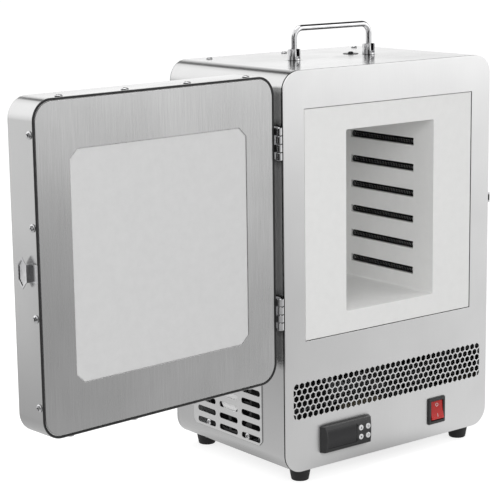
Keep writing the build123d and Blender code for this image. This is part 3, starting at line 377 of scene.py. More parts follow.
def applied(piece: bpy.types.Object) -> bpy.types.Object:
    """Turns what a piece's modifiers give into its plain mesh, and removes them."""
    view = bpy.context.evaluated_depsgraph_get()
    data = bpy.data.meshes.new_from_object(piece.evaluated_get(view))
    piece.modifiers.clear()
    piece.data = data
    return piece


def shaded(piece: bpy.types.Object, angle: float = 32.0) -> bpy.types.Object:
    """Shades a piece round, with its sharper edges kept and its flat faces left flat.

    Args:
        piece: The piece.
        angle: Edges sharper than this are kept, in degrees.

    Returns:
        The piece.
    """
    piece.data.shade_smooth()
    piece.data.set_sharp_from_angle(angle=math.radians(angle))
    weighted = piece.modifiers.new("flat_faces", "WEIGHTED_NORMAL")
    weighted.keep_sharp = True
    return applied(piece)


def make_piece(name: str, mesh: bmesh.types.BMesh, unit: float = MM) -> bpy.types.Object:
    """Makes an object at the origin from a mesh in a unit, and frees the mesh.

    Args:
        name: The object's name.
        mesh: Its mesh.
        unit: The mesh's unit, in metres.

    Returns:
        The object.
    """
    bmesh.ops.scale(mesh, vec=(unit, unit, unit), verts=mesh.verts)
    data = bpy.data.meshes.new(name)
    mesh.to_mesh(data)
    mesh.free()
    return shaded(show(name, data))


def walled(piece: bpy.types.Object, sheet: float) -> bpy.types.Object:
    """Gives a piece's open surface a wall of a thickness in millimetres, inwards.

    Args:
        piece: The piece.
        sheet: The thickness.

    Returns:
        The piece.
    """
    wall = piece.modifiers.new("sheet", "SOLIDIFY")
    wall.thickness, wall.offset = sheet * MM, -1.0
    return shaded(applied(piece))


def cut_out(piece: bpy.types.Object, cutter: bmesh.types.BMesh) -> bpy.types.Object:
    """Cuts a closed shape, in millimetres, out of a piece.

    Args:
        piece: The piece.
        cutter: The shape, which is freed.

    Returns:
        The piece.
    """
    tool = make_piece("cutter", cutter)
    change = piece.modifiers.new("cut", "BOOLEAN")
    change.operation, change.solver, change.object = "DIFFERENCE", "EXACT", tool
    applied(piece)
    bpy.data.objects.remove(tool)
    return shaded(piece)


def softened(node: str, name: str, width: float, angle: float = 35.0) -> bpy.types.Object:
    """A welded copy of a CAD node whose sharp edges are rounded.

    Args:
        node: The CAD node.
        name: The new piece's name.
        width: How far the rounding reaches from each edge, in millimetres.
        angle: Edges flatter than this stay, in degrees.

    Returns:
        The new piece.
    """
    mesh = welded(node)
    flat = math.radians(0.5)
    bmesh.ops.dissolve_limit(mesh, angle_limit=flat, verts=mesh.verts, edges=mesh.edges)
    return make_piece(name, eased(mesh, width * MM, angle), 1.0)


# Geometry trees


def start_tree(name: str, inputs: dict[str, str]) -> tuple[bpy.types.GeometryNodeTree, bpy.types.Node]:
    """Starts a geometry tree with named inputs.

    Args:
        name: The tree's name.
        inputs: The socket type of each input, by name.

    Returns:
        The tree and its input node.
    """
    tree = bpy.data.node_groups.new(name, "GeometryNodeTree")
    for label, kind in inputs.items():
        tree.interface.new_socket(name=label, in_out="INPUT", socket_type="NodeSocket" + kind)
    tree.interface.new_socket(name="Geometry", in_out="OUTPUT", socket_type="NodeSocketGeometry")
    return tree, add_node(tree, "NodeGroupInput")


def end_tree(
    tree: bpy.types.GeometryNodeTree, shape: bpy.types.NodeSocket, material: bpy.types.NodeSocket
) -> None:
    """Ends a tree in real geometry with its material.

    Args:
        tree: The geometry tree.
        shape: The socket of its shape.
        material: That of its material.
    """
    real = add_node(tree, "GeometryNodeRealizeInstances", {"Geometry": shape})
    dressed = add_node(tree, "GeometryNodeSetMaterial", {"Geometry": real.outputs[0], "Material": material})
    add_node(tree, "NodeGroupOutput", {"Geometry": dressed.outputs[0]})


def attach(piece: bpy.types.Object, tree: bpy.types.GeometryNodeTree, values: dict[str, object]) -> None:
    """Puts a tree on a piece and sets its inputs, each by its socket's identifier.

    Args:
        piece: The object whose mesh the tree starts from.
        tree: The geometry tree.
        values: The value of each named input.
    """
    change = piece.modifiers.new(tree.name, "NODES")
    change.node_group = tree
    sockets = {s.name: s.identifier for s in tree.interface.items_tree if s.in_out == "INPUT"}
    for name, value in values.items():
        change[sockets[name]] = value


def run_tree(
    piece: bpy.types.Object, tree: bpy.types.GeometryNodeTree, values: dict[str, object]
) -> bpy.types.Object:
    """Runs a tree on a piece, and keeps the result as a plain mesh of one material.

    Args:
        piece: The object whose mesh the tree starts from.
        tree: The geometry tree.
        values: The value of each named input.

    Returns:
        The piece with its new mesh.
    """
    attach(piece, tree, values)
    applied(piece)
    finish = next(m for m in piece.data.materials if m)
    piece.data.materials.clear()
    piece.data.materials.append(finish)
    piece.data.polygons.foreach_set("material_index", [0] * len(piece.data.polygons))
    return shaded(piece)


def fastener_tree() -> bpy.types.GeometryNodeTree:
    """A tree that sets one head on each seat, facing out and turned as its screw was left."""
    kinds = {"Seats": "Geometry", "Head": "Object", "Radius": "Float", "Height": "Float"}
    tree, given = start_tree("fasteners", {**kinds, "Finish": "Material"})
    get = given.outputs
    named = "GeometryNodeInputNamedAttribute"
    facing = add_node(tree, named, {"Name": "facing"}, data_type="FLOAT_VECTOR")
    turn = add_node(tree, named, {"Name": "turn"}, data_type="FLOAT")
    aim = add_node(tree, "FunctionNodeAlignRotationToVector", {"Vector": facing.outputs[0]}, axis="Z")
    spin = add_node(
        tree, "FunctionNodeAxisAngleToRotation", {"Axis": (0, 0, 1), "Angle": turn.outputs[0]}
    )
    both = add_node(
        tree,
        "FunctionNodeRotateRotation",
        {"Rotation": aim.outputs[0], "Rotate By": spin.outputs[0]},
        rotation_space="LOCAL",
    )
    head = add_node(tree, "GeometryNodeObjectInfo", {"Object": get["Head"]})
    scale = {"X": get["Radius"], "Y": get["Radius"], "Z": get["Height"]}
    size = add_node(tree, "ShaderNodeCombineXYZ", scale)
    points = add_node(tree, "GeometryNodeMeshToPoints", {"Mesh": get["Seats"]})
    heads = add_node(
        tree,
        "GeometryNodeInstanceOnPoints",
        {
            "Points": points.outputs[0],
            "Instance": head.outputs["Geometry"],
            "Rotation": both.outputs[0],
            "Scale": size.outputs[0],
        },
    )
    end_tree(tree, heads.outputs[0], get["Finish"])
    return tree


def coil_tree() -> bpy.types.GeometryNodeTree:
    """A tree that lays one wound coil along Y from each point."""
    kinds = {"Starts": "Geometry", "Turns": "Float", "Steps": "Int", "Radius": "Float", "Length": "Float"}
    tree, given = start_tree("wound_coils", {**kinds, "Wire": "Float", "Finish": "Material"})
    get = given.outputs
    spiral = add_node(
        tree,
        "GeometryNodeCurveSpiral",
        {
            "Resolution": get["Steps"],
            "Rotations": get["Turns"],
            "Start Radius": get["Radius"],
            "End Radius": get["Radius"],
            "Height": get["Length"],
        },
    )
    section = add_node(tree, "GeometryNodeCurvePrimitiveCircle", {"Resolution": 6, "Radius": get["Wire"]})
    wire = add_node(
        tree,
        "GeometryNodeCurveToMesh",
        {"Curve": spiral.outputs[0], "Profile Curve": section.outputs[0], "Fill Caps": True},
    )
    points = add_node(tree, "GeometryNodeMeshToPoints", {"Mesh": get["Starts"]})
    coils = add_node(
        tree,
        "GeometryNodeInstanceOnPoints",
        {"Points": points.outputs[0], "Instance": wire.outputs[0], "Rotation": (-math.pi / 2, 0, 0)},
    )
    end_tree(tree, coils.outputs[0], get["Finish"])
    return tree


def slotted_tree() -> bpy.types.GeometryNodeTree:
    """A tree that punches a grid of round-ended slots in a clipped sheet, lying in X and Y."""
    sheet = {"Seed": "Geometry", "Width": "Float", "Height": "Float", "Clip": "Float", "Sheet": "Float"}
    slots = {"Slot length": "Float", "Slot height": "Float", "Columns": "Int", "Rows": "Int"}
    pitches = {"Column pitch": "Float", "Row pitch": "Float", "Offset": "Vector", "Finish": "Material"}
    tree, given = start_tree("slotted_sheet", {**sheet, **slots, **pitches})
    get = given.outputs
    rectangle, fillet = "GeometryNodeCurvePrimitiveQuadrilateral", "GeometryNodeFilletCurve"
    edge = add_node(tree, rectangle, {"Width": get["Width"], "Height": get["Height"]})
    corners = {"Curve": edge.outputs[0], "Count": 1, "Radius": get["Clip"]}
    clipped = add_node(tree, fillet, corners, mode="POLY")
    hole = add_node(tree, rectangle, {"Width": get["Slot length"], "Height": get["Slot height"]})
    # Just under half the height, so the fillets of one end don't meet
    half = add_node(tree, "ShaderNodeMath", {0: get["Slot height"], 1: 0.46}, operation="MULTIPLY")
    ends = {"Curve": hole.outputs[0], "Count": 6, "Radius": half.outputs[0]}
    rounded = add_node(tree, fillet, ends, mode="POLY")
    spans = []
    for pitch, count in (("Column pitch", "Columns"), ("Row pitch", "Rows")):
        gaps = add_node(tree, "ShaderNodeMath", {0: get[count], 1: 1.0}, operation="SUBTRACT")
        lengths = {0: gaps.outputs[0], 1: get[pitch]}
        spans.append(add_node(tree, "ShaderNodeMath", lengths, operation="MULTIPLY").outputs[0])
    size = {"Size X": spans[0], "Size Y": spans[1], "Vertices X": get["Columns"], "Vertices Y": get["Rows"]}
    grid = add_node(tree, "GeometryNodeMeshGrid", size)
    place = {"Geometry": grid.outputs[0], "Translation": get["Offset"]}
    shifted = add_node(tree, "GeometryNodeTransform", place)
    punch = {"Points": shifted.outputs[0], "Instance": rounded.outputs[0]}
    slots_at = add_node(tree, "GeometryNodeInstanceOnPoints", punch)
    real = add_node(tree, "GeometryNodeRealizeInstances", {"Geometry": slots_at.outputs[0]})
    outline = add_node(tree, "GeometryNodeJoinGeometry")
    tree.links.new(clipped.outputs[0], outline.inputs[0])
    tree.links.new(real.outputs[0], outline.inputs[0])
    face = add_node(tree, "GeometryNodeFillCurve", {"Curve": outline.outputs[0]}, mode="NGONS")
    depth = {"Mesh": face.outputs[0], "Offset Scale": get["Sheet"], "Individual": False}
    thick = add_node(tree, "GeometryNodeExtrudeMesh", depth, mode="FACES")
    back = add_node(tree, "GeometryNodeFlipFaces", {"Mesh": face.outputs[0]})
    whole = add_node(tree, "GeometryNodeJoinGeometry")
    tree.links.new(thick.outputs[0], whole.inputs[0])
    tree.links.new(back.outputs[0], whole.inputs[0])
    seams = {"Geometry": whole.outputs[0], "Distance": 1e-6}
    closed = add_node(tree, "GeometryNodeMergeByDistance", seams)
    end_tree(tree, closed.outputs[0], get["Finish"])
    return tree


def round_shading_tree() -> bpy.types.GeometryNodeTree:
    """A tree that closes a CAD node's loose triangles and shades its curved faces round."""
    tree, given = start_tree("round_shading", {"Node": "Geometry", "Edge angle": "Float"})
    get = given.outputs
    seams = {"Geometry": get["Node"], "Distance": WELD}
    closed = add_node(tree, "GeometryNodeMergeByDistance", seams)
    smooth = {"Geometry": closed.outputs[0], "Shade Smooth": True}
    soft = add_node(tree, "GeometryNodeSetShadeSmooth", smooth)
    angle = add_node(tree, "GeometryNodeInputMeshEdgeAngle")
    ends = {"A": angle.outputs[0], "B": get["Edge angle"]}
    sharp = add_node(tree, "FunctionNodeCompare", ends, operation="GREATER_THAN")
    kept = {"Geometry": soft.outputs[0], "Selection": sharp.outputs[0], "Shade Smooth": False}
    edges = add_node(tree, "GeometryNodeSetShadeSmooth", kept, domain="EDGE")
    add_node(tree, "NodeGroupOutput", {"Geometry": edges.outputs[0]})
    return tree


# Finishes


class Brushing(Enum):
    """The way that a sheet's brush lines run."""

    UPRIGHT = (0, 0, 1)
    DEEP = (0, 1, 0)
    NONE = (0, 0, 0)


def principled(
    name: str, inputs: dict[str, object]
) -> tuple[bpy.types.NodeTree, bpy.types.Node, bpy.types.NodeSocket]:
    """Starts a material.

    Args:
        name: The material's name.
        inputs: The constants of its shader, by socket name.

    Returns:
        The tree, its shader and the Object coordinates.
    """
    material = bpy.data.materials.new(name)
    material.use_nodes = True
    tree = material.node_tree
    tree.nodes.clear()
    shader = add_node(tree, "ShaderNodeBsdfPrincipled", inputs)
    add_node(tree, "ShaderNodeOutputMaterial", {"Surface": shader.outputs[0]})
    place = add_node(tree, "ShaderNodeTexCoord")
    return tree, shader, place.outputs["Object"]


@dataclass(frozen=True)
class Metal:
    """Sheet, wire or cast metal, with brush lines, soft clouds and a fine grain in its gloss.

    Attributes:
        name: What the metal is and how it was made.
        colour: Its face colour.
        shade: Its darker cloud colour.
        roughness: Its mean roughness.
        brushing: The way of its brush lines.
        line_mm: The width of a brush line. The real ones are under 0.1 mm, too fine to show.
        line_length_mm: How far a brush line runs.
        cloud_mm: The size of its clouds.
        depth_mm: The height of its lines or grain.
        stretch: How far the lines stretch a highlight across them.
        line_contrast: How strongly the lines show in its colour.
        painted_shade_mm: How far from a crease its painted shade reaches, or none. It darkens creases,
            recesses and gaps where shade falls.
        painted_shade_colour: The colour of that painted shade.
        painted_shade_span: The shares of open sky at which the painted shade is full, and at which it ends.
        gloss_span: How much rougher its lines are than the mean, and how much smoother.
    """

    name: str
    colour: str
    shade: str
    roughness: float
    brushing: Brushing = Brushing.NONE
    line_mm: float = 0.5
    line_length_mm: float = 45.0
    cloud_mm: float = 70.0
    depth_mm: float = 0.01
    stretch: float = 0.0
    line_contrast: float = 0.5
    painted_shade_mm: float = 0.0
    painted_shade_colour: str = "#161616"
    painted_shade_span: Flat = (0.4, 0.85)
    gloss_span: Flat = (0.05, 0.04)

    def make(self) -> bpy.types.Material:
        """Builds the material."""
        tree, shader, place = principled(self.name, {"Metallic": 1.0, "Anisotropic": self.stretch})
        widths = [self.line_length_mm if way else self.line_mm for way in self.brushing.value]
        scale = tuple(1 / (width * MM) for width in widths)
        lines_at = add_node(tree, "ShaderNodeMapping", {"Vector": place, "Scale": scale})
        fine = {"Vector": lines_at.outputs[0], "Scale": 1.0, "Detail": 3.0, "Roughness": 0.65}
        lines = add_node(tree, "ShaderNodeTexNoise", fine)
        coarse = {"Vector": place, "Scale": 1 / (self.cloud_mm * MM), "Detail": 2.0}
        clouds = add_node(tree, "ShaderNodeTexNoise", coarse)
        contrast = {"From Min": 0.25, "From Max": 0.75, "To Min": 0.0, "To Max": self.line_contrast}
        wide = add_node(tree, "ShaderNodeMapRange", {"Value": lines.outputs[0], **contrast})
        parts = {0: wide.outputs[0], 1: clouds.outputs[0]}
        both = add_node(tree, "ShaderNodeMath", parts, operation="ADD").outputs[0]
        span = {"Value": both, "From Min": 0.3, "From Max": 0.7 + self.line_contrast}
        share = add_node(tree, "ShaderNodeMapRange", span)
        colours = {"Factor": share.outputs[0], 6: linear(self.shade), 7: linear(self.colour)}
        colour = add_node(tree, "ShaderNodeMix", colours, data_type="RGBA").outputs[2]
        rougher, smoother = self.gloss_span
        ends = {"To Min": self.roughness + rougher, "To Max": self.roughness - smoother}
        span = {"Value": both, "From Min": 0.2, "From Max": 1.2, **ends}
        gloss = add_node(tree, "ShaderNodeMapRange", span)
        relief = {"Height": lines.outputs[0], "Strength": 0.35, "Distance": self.depth_mm * MM}
        bump = add_node(tree, "ShaderNodeBump", relief)
        # Painted shade: the colour darkens in creases, recesses and gaps, by how little open sky they see
        if self.painted_shade_mm:
            reach = {"Distance": self.painted_shade_mm * MM}
            open_sky = add_node(tree, "ShaderNodeAmbientOcclusion", reach, samples=8)
            full, none = self.painted_shade_span
            span = {"Value": open_sky.outputs["AO"], "From Min": full, "From Max": none}
            unshaded = add_node(tree, "ShaderNodeMapRange", span)
            colours = {"Factor": unshaded.outputs[0], 6: linear(self.painted_shade_colour), 7: colour}
            colour = add_node(tree, "ShaderNodeMix", colours, data_type="RGBA").outputs[2]
        tree.links.new(colour, shader.inputs["Base Color"])
        tree.links.new(gloss.outputs[0], shader.inputs["Roughness"])
        tree.links.new(bump.outputs[0], shader.inputs["Normal"])
        if self.stretch and self.brushing is not Brushing.NONE:
            axis = "XYZ"[self.brushing.value.index(1)]
            around = add_node(tree, "ShaderNodeTangent", direction_type="RADIAL", axis=axis)
            tree.links.new(around.outputs[0], shader.inputs["Tangent"])
        return bpy.data.materials[self.name]


@dataclass(frozen=True)
class Moulded:
    """Plastic, rubber, glaze or fibre: a base colour with mottling, and a surface grain of a real size.

    Attributes:
        name: What the material is and how it was made.
        colour: Its face colour.
        shade: The colour of its mottling.
        roughness: Its mean roughness.
        grain_mm: The size of its surface grain.
        depth_mm: The height of the grain.
        mottle_mm: The size of its colour mottling.
        swing: How far the roughness wanders.
        constants: Other constants of its shader.
    """

    name: str
    colour: str
    shade: str
    roughness: float
    grain_mm: float = 0.4
    depth_mm: float = 0.02
    mottle_mm: float = 12.0
    swing: float = 0.06
    constants: tuple[tuple[str, object], ...] = ()

    def make(self) -> bpy.types.Material:
        """Builds the material."""
        tree, shader, place = principled(self.name, dict(self.constants))
        coarse = {"Vector": place, "Scale": 1 / (self.mottle_mm * MM), "Detail": 4.0, "Roughness": 0.6}
        mottle = add_node(tree, "ShaderNodeTexNoise", coarse)
        fine = {"Vector": place, "Scale": 1 / (self.grain_mm * MM), "Detail": 2.0}
        grain = add_node(tree, "ShaderNodeTexNoise", fine)
        span = {"From Min": 0.3, "From Max": 0.7}
        share = add_node(tree, "ShaderNodeMapRange", {"Value": mottle.outputs[0], **span})
        colours = {"Factor": share.outputs[0], 6: linear(self.shade), 7: linear(self.colour)}
        tint = add_node(tree, "ShaderNodeMix", colours, data_type="RGBA")
        low, high = self.roughness - self.swing, min(1.0, self.roughness + self.swing)
        ends = {"To Min": low, "To Max": high}
        gloss = add_node(tree, "ShaderNodeMapRange", {"Value": grain.outputs[0], **span, **ends})
        relief = {"Height": grain.outputs[0], "Strength": 0.5, "Distance": self.depth_mm * MM}
        bump = add_node(tree, "ShaderNodeBump", relief)
        tree.links.new(tint.outputs[2], shader.inputs["Base Color"])
        tree.links.new(gloss.outputs[0], shader.inputs["Roughness"])
        tree.links.new(bump.outputs[0], shader.inputs["Normal"])
        return bpy.data.materials[self.name]


SATIN_SHEET = Metal(
    "satin_stainless_sheet", "#CBCBCB", "#C7C7C7", 0.18, Brushing.UPRIGHT,
    depth_mm=0.004, stretch=0.3, line_contrast=0.15,
)
BRUSHED_SHEET = Metal(
    "brushed_stainless_sheet", "#E5E5E5", "#DCDCDC", 0.3, Brushing.UPRIGHT, line_contrast=0.3, stretch=0.5
)
# Its colour darkens as painted shade in recesses, such as screw drives and the gaps between hinge knuckles
NICKEL_PLATE = Metal(
    "nickel_plated_steel", "#DCDCDD", "#CACACC", 0.07, cloud_mm=6.0, line_contrast=0.2, painted_shade_mm=2.0
)


@dataclass
class Finishes:
    """Every material of the furnace, named for what it is."""

    made: dict[str, bpy.types.Material] = field(default_factory=dict)

    RECIPES: ClassVar[dict[str, Metal | Moulded]] = {
        # Cold-rolled stainless sheet with a fine satin: near mirror-bright where it lies flat to the
        # light, with painted shade in the crease under a screw head or a post, and in narrow gaps
        "polished_shell": replace(SATIN_SHEET, painted_shade_mm=12.0),
        # The same sheet on the door, whose rim stays bright right up to its seam
        "door_shell": replace(SATIN_SHEET, name="satin_stainless_door_sheet"),
        # Stainless sheet brushed from top to bottom: pale, soft, its lines just seen
        "brushed_sheet": BRUSHED_SHEET,
        # The same sheet on the front, with a soft painted shade round what is let into it
        "front_sheet": replace(BRUSHED_SHEET, name="brushed_stainless_front_sheet", painted_shade_mm=16.0),
        # The door's inner sheet, from a coarser belt: mid grey, with plain upright lines
        "door_sheet": Metal(
            "belt_ground_stainless_sheet", "#CECECE", "#B6B6B6", 0.26, Brushing.UPRIGHT,
            line_mm=0.7, line_contrast=0.7, depth_mm=0.02, stretch=0.6,
        ),
        # Hot-dip galvanised sheet: dull, with faint spangle
        "galvanised_sheet": Metal(
            "galvanised_sheet", "#C9CCCF", "#A9ADB2", 0.42, cloud_mm=14.0, line_mm=2.0
        ),
        # Nickel-plated and polished steel: bright, small and hard-edged in its reflections, with painted
        # shade in its recesses and the gaps between its parts
        "plated_steel": NICKEL_PLATE,
        # The keeper's plate is duller from its pressing, so its middle shows as plain pale grey
        "keeper_steel": replace(
            NICKEL_PLATE, name="nickel_plated_keeper_steel", roughness=0.22, painted_shade_mm=0.0
        ),
        # Steel blacked in a hot oxide bath: deep grey, with little shine
        "blacked_steel": Metal("black_oxide_steel", "#3C3C3E", "#2C2C2E", 0.32, cloud_mm=4.0),
        # Extruded aluminium: pale grey, with its die lines running the length of the fins
        "sink_aluminium": Metal("extruded_aluminium", "#C4C7CA", "#A4A8AC", 0.36, Brushing.DEEP),
        # Bare rolled brass: warm yellow, half bright
        "brass": Metal("rolled_brass", "#D2B26A", "#B9954C", 0.24, cloud_mm=5.0),
        # Iron-chromium-aluminium resistance wire, dark with the oxide of its first heats
        "resistance_wire": Moulded(
            "oxidised_resistance_wire", "#2E2D2E", "#171718", 0.5, constants=(("Metallic", 0.7),)
        ),
        # Vacuum-formed alumina-silica fibre: matt off-white, a felt of fine fibres with faint stains
        "fibre_board": Moulded(
            "vacuum_formed_ceramic_fibre", "#F1F1F0", "#EEEEED", 0.94,
            grain_mm=0.5, depth_mm=0.12, mottle_mm=9.0,
        ),
        # The door's pad is the same felt, pressed denser and a little greyer
        "pressed_board": Moulded(
            "pressed_ceramic_fibre", "#DEDEDE", "#DADADA", 0.92, grain_mm=0.5, depth_mm=0.08, mottle_mm=9.0
        ),
        # Loose ceramic wool in needled layers: creamy white, soft and quite without shine
        "fibre_wool": Moulded(
            "ceramic_wool", "#E9E8E4", "#D2D0CB", 0.98, grain_mm=1.2, depth_mm=0.6, mottle_mm=6.0
        ),
        # Unglazed alumina porcelain: ivory, with a dry sheen
        "porcelain": Moulded("alumina_porcelain", "#EFEAE0", "#E0D9CC", 0.45),
        # Black ABS moulded in a fine-spark tool: deep grey with a soft sheen
        "black_plastic": Moulded(
            "moulded_black_abs", "#2B2B2C", "#222223", 0.42, grain_mm=0.35, depth_mm=0.015
        ),
        # The fan's nylon, near black and dull, darker than the case as painted shade behind the vent; and
        # the strip of painted shade in the door's seam
        "fan_nylon_and_painted_shade": Moulded("glass_filled_black_nylon", "#141415", "#0F0F10", 0.6, grain_mm=0.5),
        # Smoked acrylic over the unlit figures: almost black, with one clear reflection
        "display_window": Moulded(
            "smoked_acrylic", "#1D1D1F", "#18181A", 0.16, grain_mm=3.0, depth_mm=0.002, swing=0.03
        ),
        # Clear red polycarbonate over a neon lamp: deep red that glows where light comes through
        "red_plastic": Moulded(
            "clear_red_polycarbonate", "#C42826", "#B02220", 0.2, swing=0.03, depth_mm=0.003,
            constants=(
                ("Subsurface Weight", 0.25),
                ("Subsurface Scale", 0.004),
                ("Specular IOR Level", 0.35),
                ("Coat Weight", 0.15),
                ("Coat Roughness", 0.06),
            ),
        ),
        # Light grey silicone keys: pale against the black case, with a soft matt face
        "key_plastic": Moulded("light_grey_silicone", "#EDEDEE", "#E2E2E3", 0.5),
        # Black nitrile rubber: dark and dull, a shade above black where light grazes it
        "black_rubber": Moulded(
            "moulded_black_rubber", "#1F1F20", "#161617", 0.62, grain_mm=0.6, depth_mm=0.04
        ),
        # Cream phenolic moulding: warm, opaque, half dull
        "barred_plastic": Moulded("cream_phenolic", "#D9D2BF", "#C8C0AA", 0.5),
        # Pad-printed marks: white on the rocker
        "white_mark": Moulded("white_pad_print", "#F2F0EE", "#E6E2E0", 0.5),
        # Mid grey on the keys
        "dark_mark": Moulded("dark_pad_print", "#6E6F71", "#606163", 0.6),
        # The blank paper disc on the fan's hub, the brightest thing behind the vent
        "paper_disc": Moulded("coated_paper", "#FFFFFF", "#FBFBFB", 0.35),
    }

    def __getitem__(self, slot: str) -> bpy.types.Material:
        """The material of a slot, built when it is first asked for."""
        if slot not in self.made:
            self.made[slot] = self.RECIPES[slot].make()
        return self.made[slot]


# Small fasteners


class HeadForm(Enum):
    """The forms of head, each the profile of one with a radius and a height of one."""

    PAN = (
        (0, 0), (0.93, 0), (1, 0.08), (1, 0.42), (0.96, 0.6), (0.86, 0.77),
        (0.68, 0.9), (0.42, 0.98), (0, 1.0),
    )
    FLUSH = ((0, 0), (1, 0), (1, 0.7), (0.96, 1.0), (0, 1.0))
    RIVET = ((0, 0), (1, 0), (0.97, 0.3), (0.85, 0.6), (0.62, 0.85), (0.32, 0.97), (0, 1.0))


@dataclass(frozen=True)
class Head:
    """A head's radius and height in millimetres, and its form."""

    radius: float
    height: float
    form: HeadForm = HeadForm.PAN


@dataclass(frozen=True)
class Seat:
    """Where a head sits, in millimetres, the way that it faces, and how far its drive is turned."""

    place: Point
    facing: Point
    turn: float = 0.0


@dataclass
class Fasteners:
    """Screw and rivet heads, each a turned shape set on its seats by one geometry tree.

    Attributes:
        steps: The faces round a head.
        recess_reach: How far the cross recess reaches from the middle, as a share of the radius.
        recess_width: The width of its bars, as a share of the radius.
        recess_floor: How high its floor lies, as a share of the height.
        made: The single head of each form.
    """

    steps: int = 28
    recess_reach: float = 0.62
    recess_width: float = 0.32
    recess_floor: float = 0.45
    made: dict[HeadForm, bpy.types.Object] = field(default_factory=dict)

    def __post_init__(self) -> None:
        """Builds the tree and one head of each form."""
        self.tree = fastener_tree()
        half, reach, floor = self.recess_width / 2, self.recess_reach, self.recess_floor
        for form in HeadForm:
            head = make_piece("head_" + form.name.lower(), turned(form.value, self.steps), 1.0)
            if form is not HeadForm.RIVET:
                for x, y in ((reach, half), (half, reach)):
                    bar = block((-x, -y, floor), (x, y, 2))
                    cut_out(head, moved(bar, Matrix.Scale(1 / MM, 4)))
            self.made[form] = head

    def set(
        self, name: str, seats: Sequence[Seat], head: Head, finish: bpy.types.Material
    ) -> bpy.types.Object:
        """Makes one piece from the heads on some seats.

        Args:
            name: The piece's name.
            seats: Where the heads sit.
            head: Their size and form.
            finish: Their material.

        Returns:
            The piece, in place.
        """
        data = bpy.data.meshes.new(name)
        data.from_pydata([Vector(s.place) * MM for s in seats], [], [])
        data.attributes.new("facing", "FLOAT_VECTOR", "POINT")
        data.attributes.new("turn", "FLOAT", "POINT")
        for i, seat in enumerate(seats):
            data.attributes["facing"].data[i].vector = seat.facing
            data.attributes["turn"].data[i].value = seat.turn
        size = {"Radius": head.radius * MM, "Height": head.height * MM}
        values = {"Head": self.made[head.form], **size, "Finish": finish}
        return run_tree(show(name, data), self.tree, values)

    def put_away(self) -> None:
        """Removes the single heads once every fastener is made."""
        for head in self.made.values():
            bpy.data.objects.remove(head)


@dataclass
class SubAssembly:
    """What each part of the furnace is built with, and how its pieces are dressed."""

    finishes: Finishes
    fasteners: Fasteners

    def build(self) -> None:
        """Builds and dresses every piece."""
        raise NotImplementedError

    def dress(
        self, piece: bpy.types.Object, body: str, slot: str, *nodes: str, finish: str = ""
    ) -> bpy.types.Object:
        """Gives a piece its finish and its body, and hides the CAD nodes that it stands for.

        Args:
            piece: The finished piece, in place.
            body: The CAD body that carries it.
            slot: The name of its material slot, which is also the finish it takes where no other is given.
            nodes: The CAD nodes that it replaces.
            finish: Its finish, where that isn't the slot's own and its mesh has none yet.

        Returns:
            The piece.
        """
        if not piece.data.materials:
            piece.data.materials.append(self.finishes[finish or slot])
        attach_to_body(piece, body)
        if nodes:
            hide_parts(*nodes)
        log.info("%s on %s, %d faces", piece.name, body, len(piece.data.polygons))
        return piece

    def soften(
        self, node: str, name: str, body: str, slot: str, width: float, angle: float = 35.0, finish: str = ""
    ) -> bpy.types.Object:
        """Dresses a softened copy of a CAD node, which stands for it.

        Args:
            node: The CAD node.
            name: The new piece's name.
            body: The CAD body that carries it.
            slot: The name of its material slot, which is also the finish it takes where no other is given.
            width: How far the rounding reaches from each edge, in millimetres.
            angle: Edges flatter than this stay, in degrees.
            finish: Its finish, where that isn't the slot's own.

        Returns:
            The new piece.
        """
        return self.dress(softened(node, name, width, angle), body, slot, node, finish=finish)

    def fasten(
        self,
        name: str,
        seats: Sequence[Seat],
        head: Head,
        *nodes: str,
        body: str = "cabinet",
        finish: str = "plated_steel",
    ) -> bpy.types.Object:
        """Sets heads on their seats as one dressed piece.

        Args:
            name: The piece's name.
            seats: Where the heads sit.
            head: Their size and form.
            nodes: The CAD nodes that it replaces.
            body: The CAD body that carries it.
            finish: Its finish.

        Returns:
            The piece.
        """
        piece = self.fasteners.set(name, seats, head, self.finishes[finish])
        return self.dress(piece, body, "plated_steel", *nodes)

    def keep(self, node: str, slot: str, angle: float = 34.0) -> None:
        """Keeps a CAD node whose shape is right, with its finish and its curved faces shaded round.

        Args:
            node: The CAD node.
            slot: Its finish.
            angle: Edges sharper than this stay, in degrees.
        """
        piece = NODES[node]
        piece.data.materials.clear()
        piece.data.materials.append(self.finishes[slot])
        tree = bpy.data.node_groups.get("round_shading") or round_shading_tree()
        attach(piece, tree, {"Edge angle": math.radians(angle)})
        log.info("%s kept from the frame", node)


# The furnace. Every class gives its sizes in millimetres.


